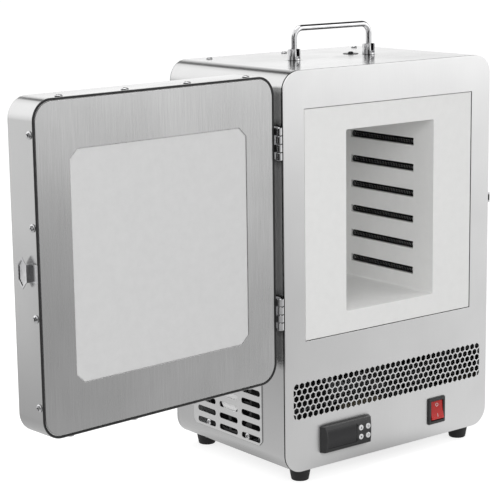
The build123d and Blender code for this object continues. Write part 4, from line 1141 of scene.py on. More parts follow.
@dataclass
class Cabinet(SubAssembly):
    """The wrapped shell, the front and back sheets, the shelf, and the screws in them."""

    width: float = 305.0
    height: float = 437.0
    depth: float = 202.0
    corner: float = 21.5
    corner_steps: int = 16
    floor: float = 14.0
    sheet: float = 1.2
    front_end: float = -97.9
    back_end: float = 99.4
    plate_edge: float = 0.7
    plate_angle: float = 50.0
    window_y: Flat = (-57.9, 63.3)  # the opening in the left side, behind the vent
    window_z: Flat = (39.6, 126.8)
    grille_z: Flat = (75.0, 125.0)  # the perforated band of the front plate
    grille_margin: float = 4.0
    grille_drop: float = 4.2  # the photo has it this much lower than the CAD
    top_head: Head = Head(3.6, 1.8)
    top_solid_head: float = 2.8  # the radius of the CAD's own heads, where their box ends
    top_turns: Point = (0.3, 1.1, 0.7)
    back_head: Head = Head(2.8, 1.8)
    back_inset: float = 12.0
    back_steps: tuple[float, ...] = (-1, -0.33, 0.33, 1)
    back_first: Flat = (38.0, 20.0)  # how far the screws keep from a corner, across and up
    plug_head: Head = Head(3.2, 2.0)
    washer: float = 0.6
    washer_edge: float = 0.3

    @property
    def middle(self) -> float:
        """The height of the shell's middle."""
        return self.floor + self.height / 2

    def build(self) -> None:
        """Builds and dresses every piece of the cabinet."""
        self.shell()
        self.front()
        self.keep("back_panel", "galvanised_sheet")
        self.keep("shelf", "galvanised_sheet")
        self.screws()
        self.plug()

    def front(self) -> None:
        """The front plate, with its grille lowered to the photo's place."""
        plate = softened("front_plate", "window_front_sheet", self.plate_edge, self.plate_angle)
        low, high = self.grille_z
        for vert in plate.data.vertices:
            if low < vert.co.z / MM < high and abs(vert.co.x) / MM < self.width / 2 - self.grille_margin:
                vert.co.z -= self.grille_drop * MM
        self.dress(plate, "cabinet", "brushed_sheet", "front_plate", finish="front_sheet")

    def shell(self) -> None:
        """The shell: one bent sheet round all four long edges, open behind the side vent."""
        outline = round_outline(self.width, self.height, self.corner, (0, self.middle), self.corner_steps)
        left = -self.width / 2
        cut = next(i for i, (x, z) in enumerate(outline) if x < left + ON_AXIS and z > self.middle)
        outline[cut + 1 : cut + 1] = [(left, z) for z in sorted(self.window_z, reverse=True)]
        mesh = bmesh.new()
        stations = [self.front_end, *self.window_y, self.back_end]
        rings = [[mesh.verts.new((x, y, z)) for x, z in outline] for y in stations]
        for step, (near, far) in enumerate(zip(rings, rings[1:])):
            for i in range(len(outline)):
                j = (i + 1) % len(outline)
                if step == 1 and i == cut + 1:
                    continue
                mesh.faces.new((near[j], near[i], far[i], far[j]))
        bmesh.ops.recalc_face_normals(mesh, faces=mesh.faces)
        if sum(f.normal.z * (f.calc_center_median().z - self.middle) for f in mesh.faces) < 0:
            bmesh.ops.reverse_faces(mesh, faces=mesh.faces)
        piece = walled(make_piece("shell_wrap", mesh), self.sheet)
        self.dress(piece, "cabinet", "polished_shell", "outer_shell")

    def screws(self) -> None:
        """The three screws at the back of the top, and those round the back sheet."""
        top = extent("top_screws")
        far = top.high[0] - self.top_solid_head
        places = [(x, top.middle[1], top.low[2]) for x in (-far, 0, far)]
        seats = [Seat(place, (0, 0, 1), turn) for place, turn in zip(places, self.top_turns)]
        self.fasten("top_screw_heads", seats, self.top_head, "top_screws")
        out, rise = self.width / 2 - self.back_inset, self.height / 2 - self.back_inset
        in_x, in_z = self.back_first
        spots = [(side * out, step * (rise - in_z)) for side in (-1, 1) for step in self.back_steps]
        spots += [(side * (out - in_x), step * rise) for side in (-1, 1) for step in (-1, 1)]
        seats = [
            Seat((x, self.depth / 2, self.middle + z), (0, 1, 0), 0.7 * i) for i, (x, z) in enumerate(spots)
        ]
        self.fasten("back_screw_heads", seats, self.back_head)

    def plug(self) -> None:
        """The washer and screw that close the hole in the top."""
        hole = extent("chimney_plug")
        x, y, z = hole.middle[0], hole.middle[1], hole.low[2]
        radius, edge = (hole.high[0] - hole.low[0]) / 2, self.washer_edge
        profile = [(0, 0), (radius, 0), (radius, self.washer - edge), (radius - edge, self.washer)]
        disc = turned([*profile, (0, self.washer)], 48)
        washer = make_piece("plug_washer", moved(disc, Matrix.Translation((x, y, z))))
        self.dress(washer, "cabinet", "plated_steel", "chimney_plug", finish="blacked_steel")
        seat = Seat((x, y, z + self.washer), (0, 0, 1), 0.5)
        self.fasten("plug_screw_head", [seat], self.plug_head, finish="blacked_steel")


@dataclass
class HeatedChamber(SubAssembly):
    """The fibre muffle with its coils, its wool, and what comes through its back."""

    coil_radius: float = 3.45
    coil_gap: float = 0.4  # left free at each end of a groove
    wire: float = 1.3
    turns: float = 38.0
    steps_per_turn: int = 14
    grooves: int = 6
    groove_first: float = 205.5
    groove_pitch: float = 29.9
    ruffle: float = 1.4
    ruffles_per_metre: float = 90.0
    wool_cuts: int = 3
    sheath_radius: float = 3.0
    sheath_tip: Flat = (2.2, 0.9)
    probe_head: Flat = (9.0, 10.0)

    def build(self) -> None:
        """Builds and dresses every piece of the chamber."""
        self.soften("fibre_muffle", "fibre_chamber", "cabinet", "fibre_board", 0.7)
        self.wool()
        for side in ("left", "right"):
            self.coils(side)
        self.probe()
        self.soften("lead_block", "lead_terminal_block", "cabinet", "porcelain", 0.6)

    def wool(self) -> None:
        """The wool blanket, with a ruffled face that stays inside the solid's own room."""
        mesh = welded("insulation_blanket")
        bmesh.ops.subdivide_edges(mesh, edges=mesh.edges, cuts=self.wool_cuts, use_grid_fill=True)
        bmesh.ops.triangulate(mesh, faces=mesh.faces)
        for vert in mesh.verts:
            share = 0.5 + 0.5 * noise.noise(vert.co * self.ruffles_per_metre)
            vert.co -= vert.normal * (self.ruffle * MM * share)
        self.dress(make_piece("wool_blanket", mesh, 1.0), "cabinet", "fibre_wool", "insulation_blanket")

    def coils(self, side: str) -> None:
        """The six wound coils in one side wall's grooves.

        Args:
            side: The wall, left or right.
        """
        node = "heating_coils_" + side
        room = extent(node)
        start = room.low[1] + self.coil_gap
        length = room.high[1] - self.coil_gap - start
        heights = [self.groove_first + step * self.groove_pitch for step in range(self.grooves)]
        data = bpy.data.meshes.new(node)
        data.from_pydata([Vector((room.middle[0], start, z)) * MM for z in heights], [], [])
        tree = bpy.data.node_groups.get("wound_coils") or coil_tree()
        count = {"Turns": self.turns, "Steps": self.steps_per_turn}
        size = {"Radius": self.coil_radius * MM, "Length": length * MM, "Wire": self.wire / 2 * MM}
        values = {**count, **size, "Finish": self.finishes["resistance_wire"]}
        piece = run_tree(show("wound_coils_" + side, data), tree, values)
        self.dress(piece, "cabinet", "resistance_wire", node)

    def probe(self) -> None:
        """The thermocouple's round sheath and its head behind the muffle."""
        room = extent("thermocouple")
        length = room.high[1] - room.low[1]
        (tip, taper), (head, head_length) = self.sheath_tip, self.probe_head
        profile = [(0, 0), (tip, 0), (self.sheath_radius, taper), (self.sheath_radius, length - head_length)]
        profile += [(head, length - head_length), (head, length - 1), (head - 1, length), (0, length)]
        place = seated((room.middle[0], room.low[1], room.middle[2]), (0, 1, 0))
        rod = make_piece("thermocouple_sheath", moved(turned(profile), place))
        self.dress(rod, "cabinet", "porcelain", "thermocouple")


@dataclass
class TemperatureController(SubAssembly):
    """The panel controller: crowned bezel, smoked window, and four round keys."""

    key_radius: float = 3.2
    divider: Flat = (1.1, 19.0)
    divider_x: float = -55.6
    divider_rise: float = 0.12
    mark_size: float = 1.35
    mark_depth: float = 0.06
    key_bodies: tuple[str, ...] = ("up_key", "down_key", "set_key", "power_key")

    def build(self) -> None:
        """Builds and dresses the case, the window and the keys."""
        self.soften("controller_case", "controller_bezel", "cabinet", "black_plastic", 0.35, 30)
        self.soften("controller_display", "display_glass", "cabinet", "display_window", 0.15, 40)
        self.window_divider()
        marks = (self.arrow(1), self.arrow(-1), self.set_mark(), self.power_mark())
        for body, mark in zip(self.key_bodies, marks):
            self.key(body, mark)

    def window_divider(self) -> None:
        """The thin black bar between the window and the keys."""
        window = extent("controller_display")
        bar = prism(round_outline(*self.divider, 0.3, (self.divider_x, window.middle[2]), 4), 0.5)
        piece = make_piece("window_divider", moved(bar, upright(window.low[1] - self.divider_rise)))
        self.dress(piece, "cabinet", "display_window")

    def arrow(self, way: int) -> bmesh.types.BMesh:
        """A triangle that points up or down."""
        points = [(-1.0, -0.75), (1.0, -0.75), (0, 1.0)]
        return prism([(u * way, v * way) for u, v in points], self.mark_depth)

    def set_mark(self) -> bmesh.types.BMesh:
        """A small open square."""
        out, into = 0.9, 0.5
        bars = [((-out, -out), (-into, out)), ((into, -out), (out, out))]
        bars += [((-into, into), (into, out)), ((-into, -out), (into, -into))]
        return joined(block((*low, 0), (*high, self.mark_depth)) for low, high in bars)

    def power_mark(self) -> bmesh.types.BMesh:
        """A ring that is open at its top, with a bar in the opening."""
        ring = arc((0, 0), 1.15, 130, 410, 20) + arc((0, 0), 0.8, 410, 130, 20)
        bar = block((-0.18, 0.2, 0), (0.18, 1.25, self.mark_depth))
        return joined([prism(ring, self.mark_depth), bar])

    def key(self, body: str, mark: bmesh.types.BMesh) -> None:
        """One key: a turned cap with a soft edge, and its printed mark.

        Args:
            body: The CAD body of the key.
            mark: Its mark, flat and at the origin.
        """
        node = "key_" + body.removesuffix("_key")
        room = extent(node)
        x, _, z = room.middle
        r, length = self.key_radius, room.high[1] - room.low[1]
        profile = [(0, 0), (r, 0), (r, length - 0.5)]
        profile += [(r - 0.18, length - 0.16), (r - 0.55, length), (0, length)]
        cap = moved(turned(profile), seated((x, room.high[1], z), (0, -1, 0)))
        self.dress(make_piece(node + "_cap", cap), body, "key_plastic", node)
        size = Matrix.Diagonal((self.mark_size, self.mark_size, 1, 1))
        printed = moved(mark, read_from_front((x, room.low[1], z)) @ size)
        self.dress(make_piece(node + "_mark", printed), body, "key_plastic", finish="dark_mark")


@dataclass
class PowerSwitch(SubAssembly):
    """The rocker switch with its printed O and I."""

    middle: Flat = (71.3, 44.7)
    pivot_y: float = -99.0
    face_y: float = -102.8
    slope: float = 1.1 / 11.6
    tilt: float = -9.0
    mark_out: float = 6.2  # from the middle to each mark
    mark_rise: float = 0.05
    mark_depth: float = 0.07
    ring: Flat = (2.1, 1.6)
    bar: Flat = (0.25, 1.9)

    def build(self) -> None:
        """Builds and dresses the housing, the rocker and its marks."""
        self.soften("switch_housing", "switch_bezel", "cabinet", "black_plastic", 0.3)
        self.soften("switch_rocker", "rocker_cap", "rocker", "red_plastic", 0.4, 30)
        outer, inner = self.ring
        ring = arc((0, 0), outer, 0, 360, 32) + arc((0, 0), inner, 360, 0, 32)
        wide, tall = self.bar
        bar = block((-wide, -tall, 0), (wide, tall, self.mark_depth))
        marks = {"off": (prism(ring, self.mark_depth), 1), "on": (bar, -1)}
        for name, (mark, way) in marks.items():
            piece = make_piece("rocker_mark_" + name, moved(mark, self.on_face(way)))
            self.dress(piece, "rocker", "red_plastic", finish="white_mark")

    def on_face(self, way: int) -> Matrix:
        """The place of a mark on the upper or lower face of the tipped rocker.

        Args:
            way: 1 for the upper face, -1 for the lower.

        Returns:
            The place.
        """
        x, z = self.middle
        y = self.face_y - self.slope * self.mark_out - self.mark_rise
        face = read_from_front((x, y, z + self.mark_out * way))
        lean = math.atan(self.slope) * way
        tip = turned_about((x, self.pivot_y, z), self.tilt, "X")
        return tip @ face @ Matrix.Rotation(lean, 4, "X")


@dataclass
class SideVent(SubAssembly):
    """The slotted plate on the left side, its four screws, and the fan behind it."""

    plate: Flat = (126.0, 92.0)
    clip: float = 5.0
    sheet: float = 1.2
    edge: float = 0.2
    slot: Flat = (33.4, 6.6)
    count: tuple[int, int] = (3, 7)
    pitch: Flat = (40.7, 13.2)
    first: Flat = (-41.0, 43.1)  # the middle of the lowest slot nearest the front, as y and z
    head: Head = Head(3.4, 1.8)
    solid_head: float = 3.1  # the radius of the CAD's own heads, where their box ends
    disc: Flat = (17.0, 0.12)

    def build(self) -> None:
        """Builds and dresses the plate, the screws and the fan."""
        self.slotted_plate()
        room, inset = extent("vent_screws"), self.solid_head
        ys, zs = ((room.low[i] + inset, room.high[i] - inset) for i in (1, 2))
        seats = [Seat((room.high[0], y, z), (-1, 0, 0), 0.4 + y) for y in ys for z in zs]
        self.fasten("vent_screw_heads", seats, self.head, "vent_screws")
        # The fan takes a darker black than the case, as painted shade behind the vent
        self.soften("fan_frame", "fan_housing", "cabinet", "black_plastic", 0.5, finish="fan_nylon_and_painted_shade")
        self.soften("fan_rotor", "fan_impeller", "fan", "black_plastic", 0.4, finish="fan_nylon_and_painted_shade")
        self.hub_disc()

    def slotted_plate(self) -> None:
        """The plate with its three columns of slots."""
        room = extent("vent_plate")
        _, y, z = room.middle
        offset = [
            first + (count - 1) / 2 * pitch - middle
            for first, count, pitch, middle in zip(self.first, self.count, self.pitch, (y, z))
        ]
        sizes = {
            "Width": self.plate[0],
            "Height": self.plate[1],
            "Clip": self.clip,
            "Sheet": self.sheet,
            "Slot length": self.slot[0],
            "Slot height": self.slot[1],
            "Column pitch": self.pitch[0],
            "Row pitch": self.pitch[1],
        }
        values = {name: size * MM for name, size in sizes.items()}
        values |= {"Columns": self.count[0], "Rows": self.count[1]}
        values |= {"Offset": (offset[0] * MM, offset[1] * MM, 0), "Finish": self.finishes["brushed_sheet"]}
        piece = run_tree(show("vent_sheet", bpy.data.meshes.new("vent_sheet")), slotted_tree(), values)
        mesh = bmesh.new()
        mesh.from_mesh(piece.data)
        place = Matrix(((0, 0, 1, room.low[0] * MM), (1, 0, 0, y * MM), (0, 1, 0, z * MM), (0, 0, 0, 1)))
        bmesh.ops.transform(mesh, matrix=place, verts=mesh.verts)
        bmesh.ops.recalc_face_normals(mesh, faces=mesh.faces)
        eased(mesh, self.edge * MM, 50, 1)
        mesh.to_mesh(piece.data)
        mesh.free()
        self.dress(shaded(piece), "cabinet", "brushed_sheet", "vent_plate")

    def hub_disc(self) -> None:
        """The blank paper disc on the still hub of the fan."""
        fan = extent("fan_frame")
        radius, depth = self.disc
        profile = [(0, 0), (radius, 0), (radius, depth - 0.04), (radius - 0.4, depth), (0, depth)]
        place = seated((fan.low[0], fan.middle[1], fan.middle[2]), (-1, 0, 0))
        piece = make_piece("fan_hub_disc", moved(turned(profile, 48), place))
        self.dress(piece, "cabinet", "black_plastic", finish="paper_disc")


@dataclass
class Feet(SubAssembly):
    """Four turned rubber feet and the screws inside them."""

    spread: Flat = (121.0, 86.0)
    recess: float = 6.0
    outline: tuple[Flat, ...] = (
        (5.0, 0.4), (5.4, 0), (9.1, 0), (9.7, 0.6), (12.0, 13.0), (12.2, 13.6), (11.9, 14.0), (0, 14.0)
    )
    head: Head = Head(3.4, 2.0)

    def build(self) -> None:
        """Builds and dresses the feet."""
        places = [(x * self.spread[0], y * self.spread[1]) for x in (-1, 1) for y in (-1, 1)]
        profile = [(0, self.recess), (self.outline[0][0], self.recess), *self.outline]
        parts = [moved(turned(profile, 48), Matrix.Translation((x, y, 0))) for x, y in places]
        self.dress(make_piece("turned_feet", joined(parts)), "cabinet", "black_rubber", "rubber_feet")
        seats = [Seat((x, y, self.recess), (0, 0, -1), x + y) for x, y in places]
        self.fasten("foot_screw_heads", seats, self.head)


@dataclass
class Electrics(SubAssembly):
    """What stands in the lower bay, and the inlet on the back."""

    inlet_head: Head = Head(2.6, 1.2, HeadForm.FLUSH)
    inlet_screw_out: float = 20.0
    clamp_head: Head = Head(2.8, 1.8)
    clamp_out: float = 5.5
    poles: int = 5

    def build(self) -> None:
        """Builds and dresses the relay on its sink, the terminals and the inlet."""
        self.keep("heat_sink", "sink_aluminium")
        self.soften("solid_state_relay", "relay_case", "cabinet", "black_plastic", 1.2)
        self.soften("terminal_block", "barrier_strip", "cabinet", "barred_plastic", 0.3)
        self.soften("power_inlet", "inlet_socket", "cabinet", "black_plastic", 0.5)
        self.soften("inlet_blades", "inlet_contacts", "cabinet", "brass", 0.3)
        self.screws()

    def screws(self) -> None:
        """The inlet's two flange screws, and the terminals' clamp screws."""
        inlet = extent("power_inlet")
        x, _, z = inlet.middle
        seats = [
            Seat((x + way * self.inlet_screw_out, inlet.high[1], z), (0, 1, 0), 0.6 * way) for way in (-1, 1)
        ]
        self.fasten("inlet_screw_heads", seats, self.inlet_head)
        strip = extent("terminal_block")
        pitch = (strip.high[0] - strip.low[0]) / self.poles
        _, y, z = strip.middle
        seats = [
            Seat((strip.low[0] + (pole + 0.5) * pitch, y + way * self.clamp_out, z), (0, 0, 1), pole + way)
            for pole in range(self.poles)
            for way in (-1, 1)
        ]
        self.fasten("terminal_screw_heads", seats, self.clamp_head)


@dataclass
class CarryHandle(SubAssembly):
    """The folding handle: two slotted posts with their pins, and the bent bar."""

    span: float = 111.0
    y: float = -2.0
    top: float = 451.0
    post_radius: float = 7.1
    post_height: float = 12.7
    post_edge: float = 0.35
    slot: float = 7.2
    slot_floor: float = 2.2
    pin_height: float = 7.0
    pin_radius: float = 1.6
    pin_edge: float = 0.5
    bar_radius: float = 3.3
    bar_rise: float = 35.6
    bar_edge: float = 0.5
    bar_tail: float = 2.7  # how far the bar's ends reach below the pins' axis
    bend: float = 11.0

    def build(self) -> None:
        """Builds and dresses the posts, the pins and the bar."""
        posts = joined(self.post(side * self.span / 2) for side in (-1, 1))
        self.dress(make_piece("slotted_posts", posts, 1.0), "cabinet", "plated_steel", "handle_posts")
        self.pins()
        self.dress(make_piece("bent_bar", self.bar()), "handle", "plated_steel", "handle_bar")

    def post(self, x: float) -> bmesh.types.BMesh:
        """One post, turned, slotted across and eased, in metres.

        Args:
            x: Where it stands, in millimetres.

        Returns:
            The mesh.
        """
        r, h, half = self.post_radius, self.post_height, self.slot / 2
        profile = [(0, 0), (r, 0), (r, h - 0.9), (r - 0.25, h - 0.3), (r - 0.9, h), (0, h)]
        post = make_piece("post", moved(turned(profile, 56), Matrix.Translation((x, self.y, self.top))))
        low = (x - half, self.y - 2 * r, self.top + self.slot_floor)
        cut_out(post, block(low, (x + half, self.y + 2 * r, self.top + 2 * h)))
        mesh = bmesh.new()
        mesh.from_mesh(post.data)
        bpy.data.objects.remove(post)
        return eased(mesh, self.post_edge * MM, 50)

    def pins(self) -> None:
        """The two pins, each flush with its post and eased at both ends."""
        reach, radius, edge = self.post_radius, self.pin_radius, self.pin_edge
        ends = [(0, -reach), (radius - edge, -reach), (radius, -reach + edge)]
        profile = ends + [(r, -h) for r, h in reversed(ends)]
        places = [(side * self.span / 2, self.y, self.top + self.pin_height) for side in (-1, 1)]
        parts = [moved(turned(profile, 24), seated(place, (1, 0, 0))) for place in places]
        self.dress(make_piece("pivot_pins", joined(parts)), "cabinet", "plated_steel", "handle_pins")

    def bar(self) -> bmesh.types.BMesh:
        """The bar: up from one pin, over, and down to the other."""
        half, low, high = self.span / 2, self.top + self.pin_height - self.bar_tail, self.top + self.bar_rise
        left = arc((-half + self.bend, high - self.bend), self.bend, 180, 90, 16)
        right = arc((half - self.bend, high - self.bend), self.bend, 90, 0, 16)
        flat = [(-half, low), *left, *right, (half, low)]
        return eased(tube([(x, self.y, z) for x, z in flat], self.bar_radius, 28), self.bar_edge, 60)


@dataclass
class Hinges(SubAssembly):
    """Two knuckle hinges between the cabinet and the door."""

    axis: Flat = (-156.9, -99.4)
    middles: Flat = (193.9, 376.3)
    height: float = 35.0
    knuckles: int = 4
    gap: float = 0.8
    radius: float = 3.5
    rim: float = 0.25
    pin_radius: float = 1.7
    pin_edge: float = 0.3
    pin_play: float = 0.05
    sheet: float = 1.5
    leaf: float = 22.0
    leaf_edge: float = 0.35
    side: float = -152.5
    swing: float = -175.7
    head: Head = Head(2.9, 1.0, HeadForm.FLUSH)
    head_sink: float = 0.9
    screw_share: Flat = (0.62, 0.29)  # of the leaf's reach from the axis, and of its height

    def build(self) -> None:
        """Builds and dresses both leaves of each hinge, the pins and the leaf screws."""
        self.leaves("cabinet", 0, 1, Matrix.Identity(4))
        self.leaves("door", 1, -1, self.open_turn())
        profile = [(0, 0), (self.pin_radius - self.pin_edge, 0), (self.pin_radius, self.pin_edge)]
        profile += [(r, self.height - h) for r, h in reversed(profile)]
        pins = [
            moved(turned(profile, 24), Matrix.Translation((*self.axis, middle - self.height / 2)))
            for middle in self.middles
        ]
        self.dress(make_piece("knuckle_pins", joined(pins)), "cabinet", "plated_steel", "hinge_pins")

    def open_turn(self) -> Matrix:
        """The turn that opens the door from closed to its place at rest."""
        return turned_about((*self.axis, 0), self.swing, "Z")

    def leaves(self, body: str, first: int, way: int, turn: Matrix) -> None:
        """The leaves and the leaf screws on one body.

        Args:
            body: The cabinet or the door.
            first: The place of its lowest knuckle.
            way: 1 where its leaves run back from the axis, -1 where they run forward.
            turn: From the closed door's place to the place at rest.
        """
        leaves = joined(self.one_leaf(middle, first, way) for middle in self.middles)
        piece = make_piece(body + "_hinge_knuckles", moved(leaves, turn))
        self.dress(piece, body, "plated_steel", body + "_hinge_leaves")
        out, up = self.screw_share
        seats = []
        for middle in self.middles:
            for step in (-1, 1):
                y = self.axis[1] + way * (self.leaf * out)
                z = middle + step * self.height * up
                place = turn @ Vector((self.side - self.sheet + self.head_sink, y, z))
                facing = turn.to_3x3() @ Vector((-1, 0, 0))
                seats.append(Seat(tuple(place), tuple(facing), 0.5 * step + middle))
        self.fasten(body + "_hinge_screws", seats, self.head, body=body)

    def one_leaf(self, middle: float, first: int, way: int) -> bmesh.types.BMesh:
        """One leaf with its rolled knuckles, in place on the closed door or the cabinet.

        Args:
            middle: The height of the hinge's middle.
            first: The place of its lowest knuckle.
            way: 1 where it runs back from the axis, -1 where it runs forward.

        Returns:
            The mesh.
        """
        low, pitch = middle - self.height / 2, self.height / self.knuckles
        near, far = sorted(self.axis[1] + way * reach for reach in (self.radius + 0.3, self.leaf))
        plate = block((self.side - self.sheet, near, low), (self.side, far, low + self.height))
        parts = [eased(plate, self.leaf_edge)]
        bore, radius, rim = self.pin_radius + self.pin_play, self.radius, self.rim
        inner, outer = sorted(self.axis[1] + way * reach for reach in (1.9, radius + 0.4))
        for i in range(first, self.knuckles, 2):
            z0, z1 = low + i * pitch + self.gap / 2, low + (i + 1) * pitch - self.gap / 2
            top = z1 - z0
            profile = [(bore, 0), (radius - rim, 0), (radius, rim), (radius, top - rim), (radius - rim, top)]
            knuckle = turned([*profile, (bore, top)], bored=True)
            parts.append(moved(knuckle, Matrix.Translation((*self.axis, z0))))
            parts.append(block((self.side - self.sheet - 1.0, inner, z0), (self.side - 0.05, outer, z1)))
        return joined(parts)


@dataclass
class Door(SubAssembly):
    """The door: bent shell, inner sheet, fibre block with its pad, screws and keeper."""

    hinges: Hinges = field(kw_only=True)
    left: float = -152.5
    width: float = 304.4
    height: float = 328.0
    floor: float = 120.2
    inner: float = -101.4
    outer: float = -143.5
    corner: float = 21.5
    corner_steps: int = 14
    bend: float = 3.4
    bend_steps: int = 6
    sheet: float = 1.2
    seam: float = 0.9
    rim_drop: float = 0.5
    rim_zone: float = 30.0  # the inner sheet's outermost band, which gives room to the seam
    # The seam's painted shade: a near-black strip set down in the seam
    shade_strip_lap: float = 0.4
    shade_strip_depth: float = 2.55
    shade_strip_drop: float = 2.6
    press: Flat = (2.6, 0.7)  # the keeper's raised rim: its width and its height
    press_slope: float = 0.5
    head: Head = Head(3.9, 1.9)
    screw_inset: float = 5.1
    screw_end: float = 33.3
    screw_side: float = 34.7

    @property
    def middle(self) -> Flat:
        """The middle of the closed door, as x and z."""
        return (self.left + self.width / 2, self.floor + self.height / 2)

    def build(self) -> None:
        """Builds and dresses every piece of the door."""
        turn = self.hinges.open_turn()
        pan = walled(make_piece("door_pan", moved(self.pan(), turn)), self.sheet)
        self.dress(pan, "door", "polished_shell", "door_shell", finish="door_shell")
        self.inner_sheet()
        self.seam_shade_strip(turn)
        pad = softened("door_insulation", "door_fibre_pad", 0.3, 40)
        self.dress(pad, "door", "fibre_board", "door_insulation", finish="pressed_board")
        self.screws(turn)
        keeper = self.pressed_middle(softened("latch_keeper", "keeper_hook", 0.3))
        self.dress(keeper, "door", "plated_steel", "latch_keeper", finish="keeper_steel")

    def outline(self, inset: float) -> list[Flat]:
        """The closed door's outline, drawn in by an inset."""
        width, height = self.width - 2 * inset, self.height - 2 * inset
        return round_outline(width, height, self.corner - inset, self.middle, self.corner_steps)

    def inner_sheet(self) -> None:
        """The inner sheet, drawn in from the rim all round to leave the seam."""
        plate = softened("door_inner_plate", "door_window_sheet", 0.25, 40)
        low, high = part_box("door_inner_plate")
        middle, reach = (low + high) / 2, (high - low) / 2 - Vector((self.rim_zone, 0, self.rim_zone)) * MM
        for vert in plate.data.vertices:
            for axis in (0, 2):
                off = vert.co[axis] - middle[axis]
                if abs(off) > reach[axis]:
                    vert.co[axis] -= math.copysign(self.seam * MM, off)
        self.dress(plate, "door", "door_sheet", "door_inner_plate")

    def pressed_middle(self, keeper: bpy.types.Object) -> bpy.types.Object:
        """Presses in the middle of the hook's outer face, so that a raised rim catches the light.

        Args:
            keeper: The keeper.

        Returns:
            The keeper.
        """
        mesh = bmesh.new()
        mesh.from_mesh(keeper.data)
        outer = [face for face in mesh.faces if face.normal.x < -0.98]
        blade = min(outer, key=lambda face: (round(face.calc_center_median().x / MM), -face.calc_area()))
        width, depth = self.press
        for thickness, sink in ((width, 0.0), (self.press_slope, -depth)):
            bmesh.ops.inset_region(
                mesh, faces=[blade], thickness=thickness * MM, depth=sink * MM, use_even_offset=False
            )
        mesh.to_mesh(keeper.data)
        mesh.free()
        return shaded(keeper)

    def seam_shade_strip(self, turn: Matrix) -> None:
        """A near-black strip of painted shade that fills the seam between the rim and the inner sheet.

        Args:
            turn: From the closed door's place to the place at rest.
        """
        lines = [self.outline(inset) for inset in (self.shade_strip_lap, self.sheet + self.seam + self.shade_strip_lap)]
        ring = moved(band_prism(*lines, self.shade_strip_depth), turn @ upright(self.inner - self.shade_strip_drop))
        self.dress(make_piece("door_seam_bead", ring), "door", "polished_shell", finish="fan_nylon_and_painted_shade")

    def pan(self) -> bmesh.types.BMesh:
        """The closed door's outer sheet: its rim, its bend and its face."""
        mesh = bmesh.new()
        stations = [(0.0, self.inner - self.rim_drop), (0.0, self.outer + self.bend)]
        for step in range(1, self.bend_steps + 1):
            angle = math.radians(90 / self.bend_steps * step)
            inset, drop = self.bend * (1 - math.cos(angle)), self.bend * (1 - math.sin(angle))
            stations.append((inset, self.outer + drop))
        rings = [[mesh.verts.new((x, y, z)) for x, z in self.outline(inset)] for inset, y in stations]
        skin(mesh, rings)
        mesh.faces.new(rings[-1])
        bmesh.ops.recalc_face_normals(mesh, faces=mesh.faces)
        face = max(mesh.faces, key=lambda f: len(f.verts))
        if face.normal.y > 0:
            bmesh.ops.reverse_faces(mesh, faces=mesh.faces)
        return mesh

    def screws(self, turn: Matrix) -> None:
        """The pan heads along the free edge, the top and the bottom.

        Args:
            turn: From the closed door's place to the place at rest.
        """
        y, count = self.inner - self.screw_inset, 4
        edge, top = self.left + self.width, self.floor + self.height
        seats = []
        for step in range(count):
            z = self.floor + self.screw_end + step * (self.height - 2 * self.screw_end) / (count - 1)
            x = self.left + self.screw_side + step * (self.width - 2 * self.screw_side) / (count - 1)
            sides = (((edge, y, z), (1, 0, 0)), ((x, y, top), (0, 0, 1)), ((x, y, self.floor), (0, 0, -1)))
            for place, facing in sides:
                at, way = turn @ Vector(place), turn.to_3x3() @ Vector(facing)
                seats.append(Seat(tuple(at), tuple(way), 0.9 * step + 0.2))
        self.fasten("door_screw_heads", seats, self.head, "door_screws", body="door")


@dataclass
class ToggleLatch(SubAssembly):
    """The toggle latch on the right side: base, lever, pin and wire bail."""

    bail_pivot: Flat = (156.8, -86.5)
    height: float = 284.2
    wire: float = 2.4
    half_width: float = 17.6
    length: float = 29.0
    bend: float = 3.0
    drop: float = 2.5  # degrees that the bail hangs towards the side
    inner: float = 3.4
    rivet: Head = Head(2.2, 0.9, HeadForm.RIVET)
    rivet_at: Point = (153.7, -71.0, 5.0)  # x and y, and how far each is above or below the middle

    def build(self) -> None:
        """Builds and dresses the latch."""
        self.soften("latch_base", "latch_bracket", "cabinet", "plated_steel", 0.25)
        self.soften("latch_pin", "latch_rivet_pin", "cabinet", "plated_steel", 0.15)
        self.soften("latch_lever", "latch_toggle", "lever", "plated_steel", 0.25)
        self.dress(make_piece("wire_bail", self.bail()), "bail", "plated_steel", "latch_bail")
        x, y, off = self.rivet_at
        seats = [Seat((x, y, self.height + z), (1, 0, 0)) for z in (-off, off)]
        self.fasten("latch_rivets", seats, self.rivet)

    def bail(self) -> bmesh.types.BMesh:
        """The wire loop, with its ends turned into the lever."""
        x, y = self.bail_pivot
        end, wide, b = y + self.length, self.half_width, self.bend
        near, far = arc((y + b, wide - b), b, 180, 90, 8), arc((end - b, wide - b), b, 90, 0, 8)
        half = [(y, self.inner), *near, *far]
        flat = half + [(along, -across) for along, across in reversed(half)]
        loop = tube([(x, along, self.height + across) for along, across in flat], self.wire / 2, 16)
        return moved(loop, turned_about((x, y, 0), self.drop, "Z"))


# Studio


@dataclass(frozen=True)
class Softbox:
    """A square lamp that faces the furnace, unseen by the camera. Sizes in metres.

    Attributes:
        name: Its name.
        place: Where it stands.
        size: The length of its side.
        power: Its power in watts.
        mirrored: Whether polished metal shows it.
    """

    name: str
    place: Point
    size: float
    power: float
    mirrored: bool = True


@dataclass(frozen=True)
class FloorPatch:
    """A round patch of the floor that polished metal shows darker.

    Attributes:
        middle: Its middle, in metres.
        core: The radius of its core in metres, and the brightness there.
        edge: The radius at which it ends, and the brightness there.
    """

    middle: Point
    core: Flat
    edge: Flat


@dataclass(frozen=True)
class WallLobe:
    """A round part of the walls that polished metal shows darker or brighter.

    Attributes:
        way: The way from the furnace to its middle.
        edge: The cosine of the angle from its middle at which it starts.
        core: The cosine of the angle inside which it is full.
        level: The brightness of its core, where the plain wall has one.
    """

    way: Point
    edge: float
    core: float
    level: float


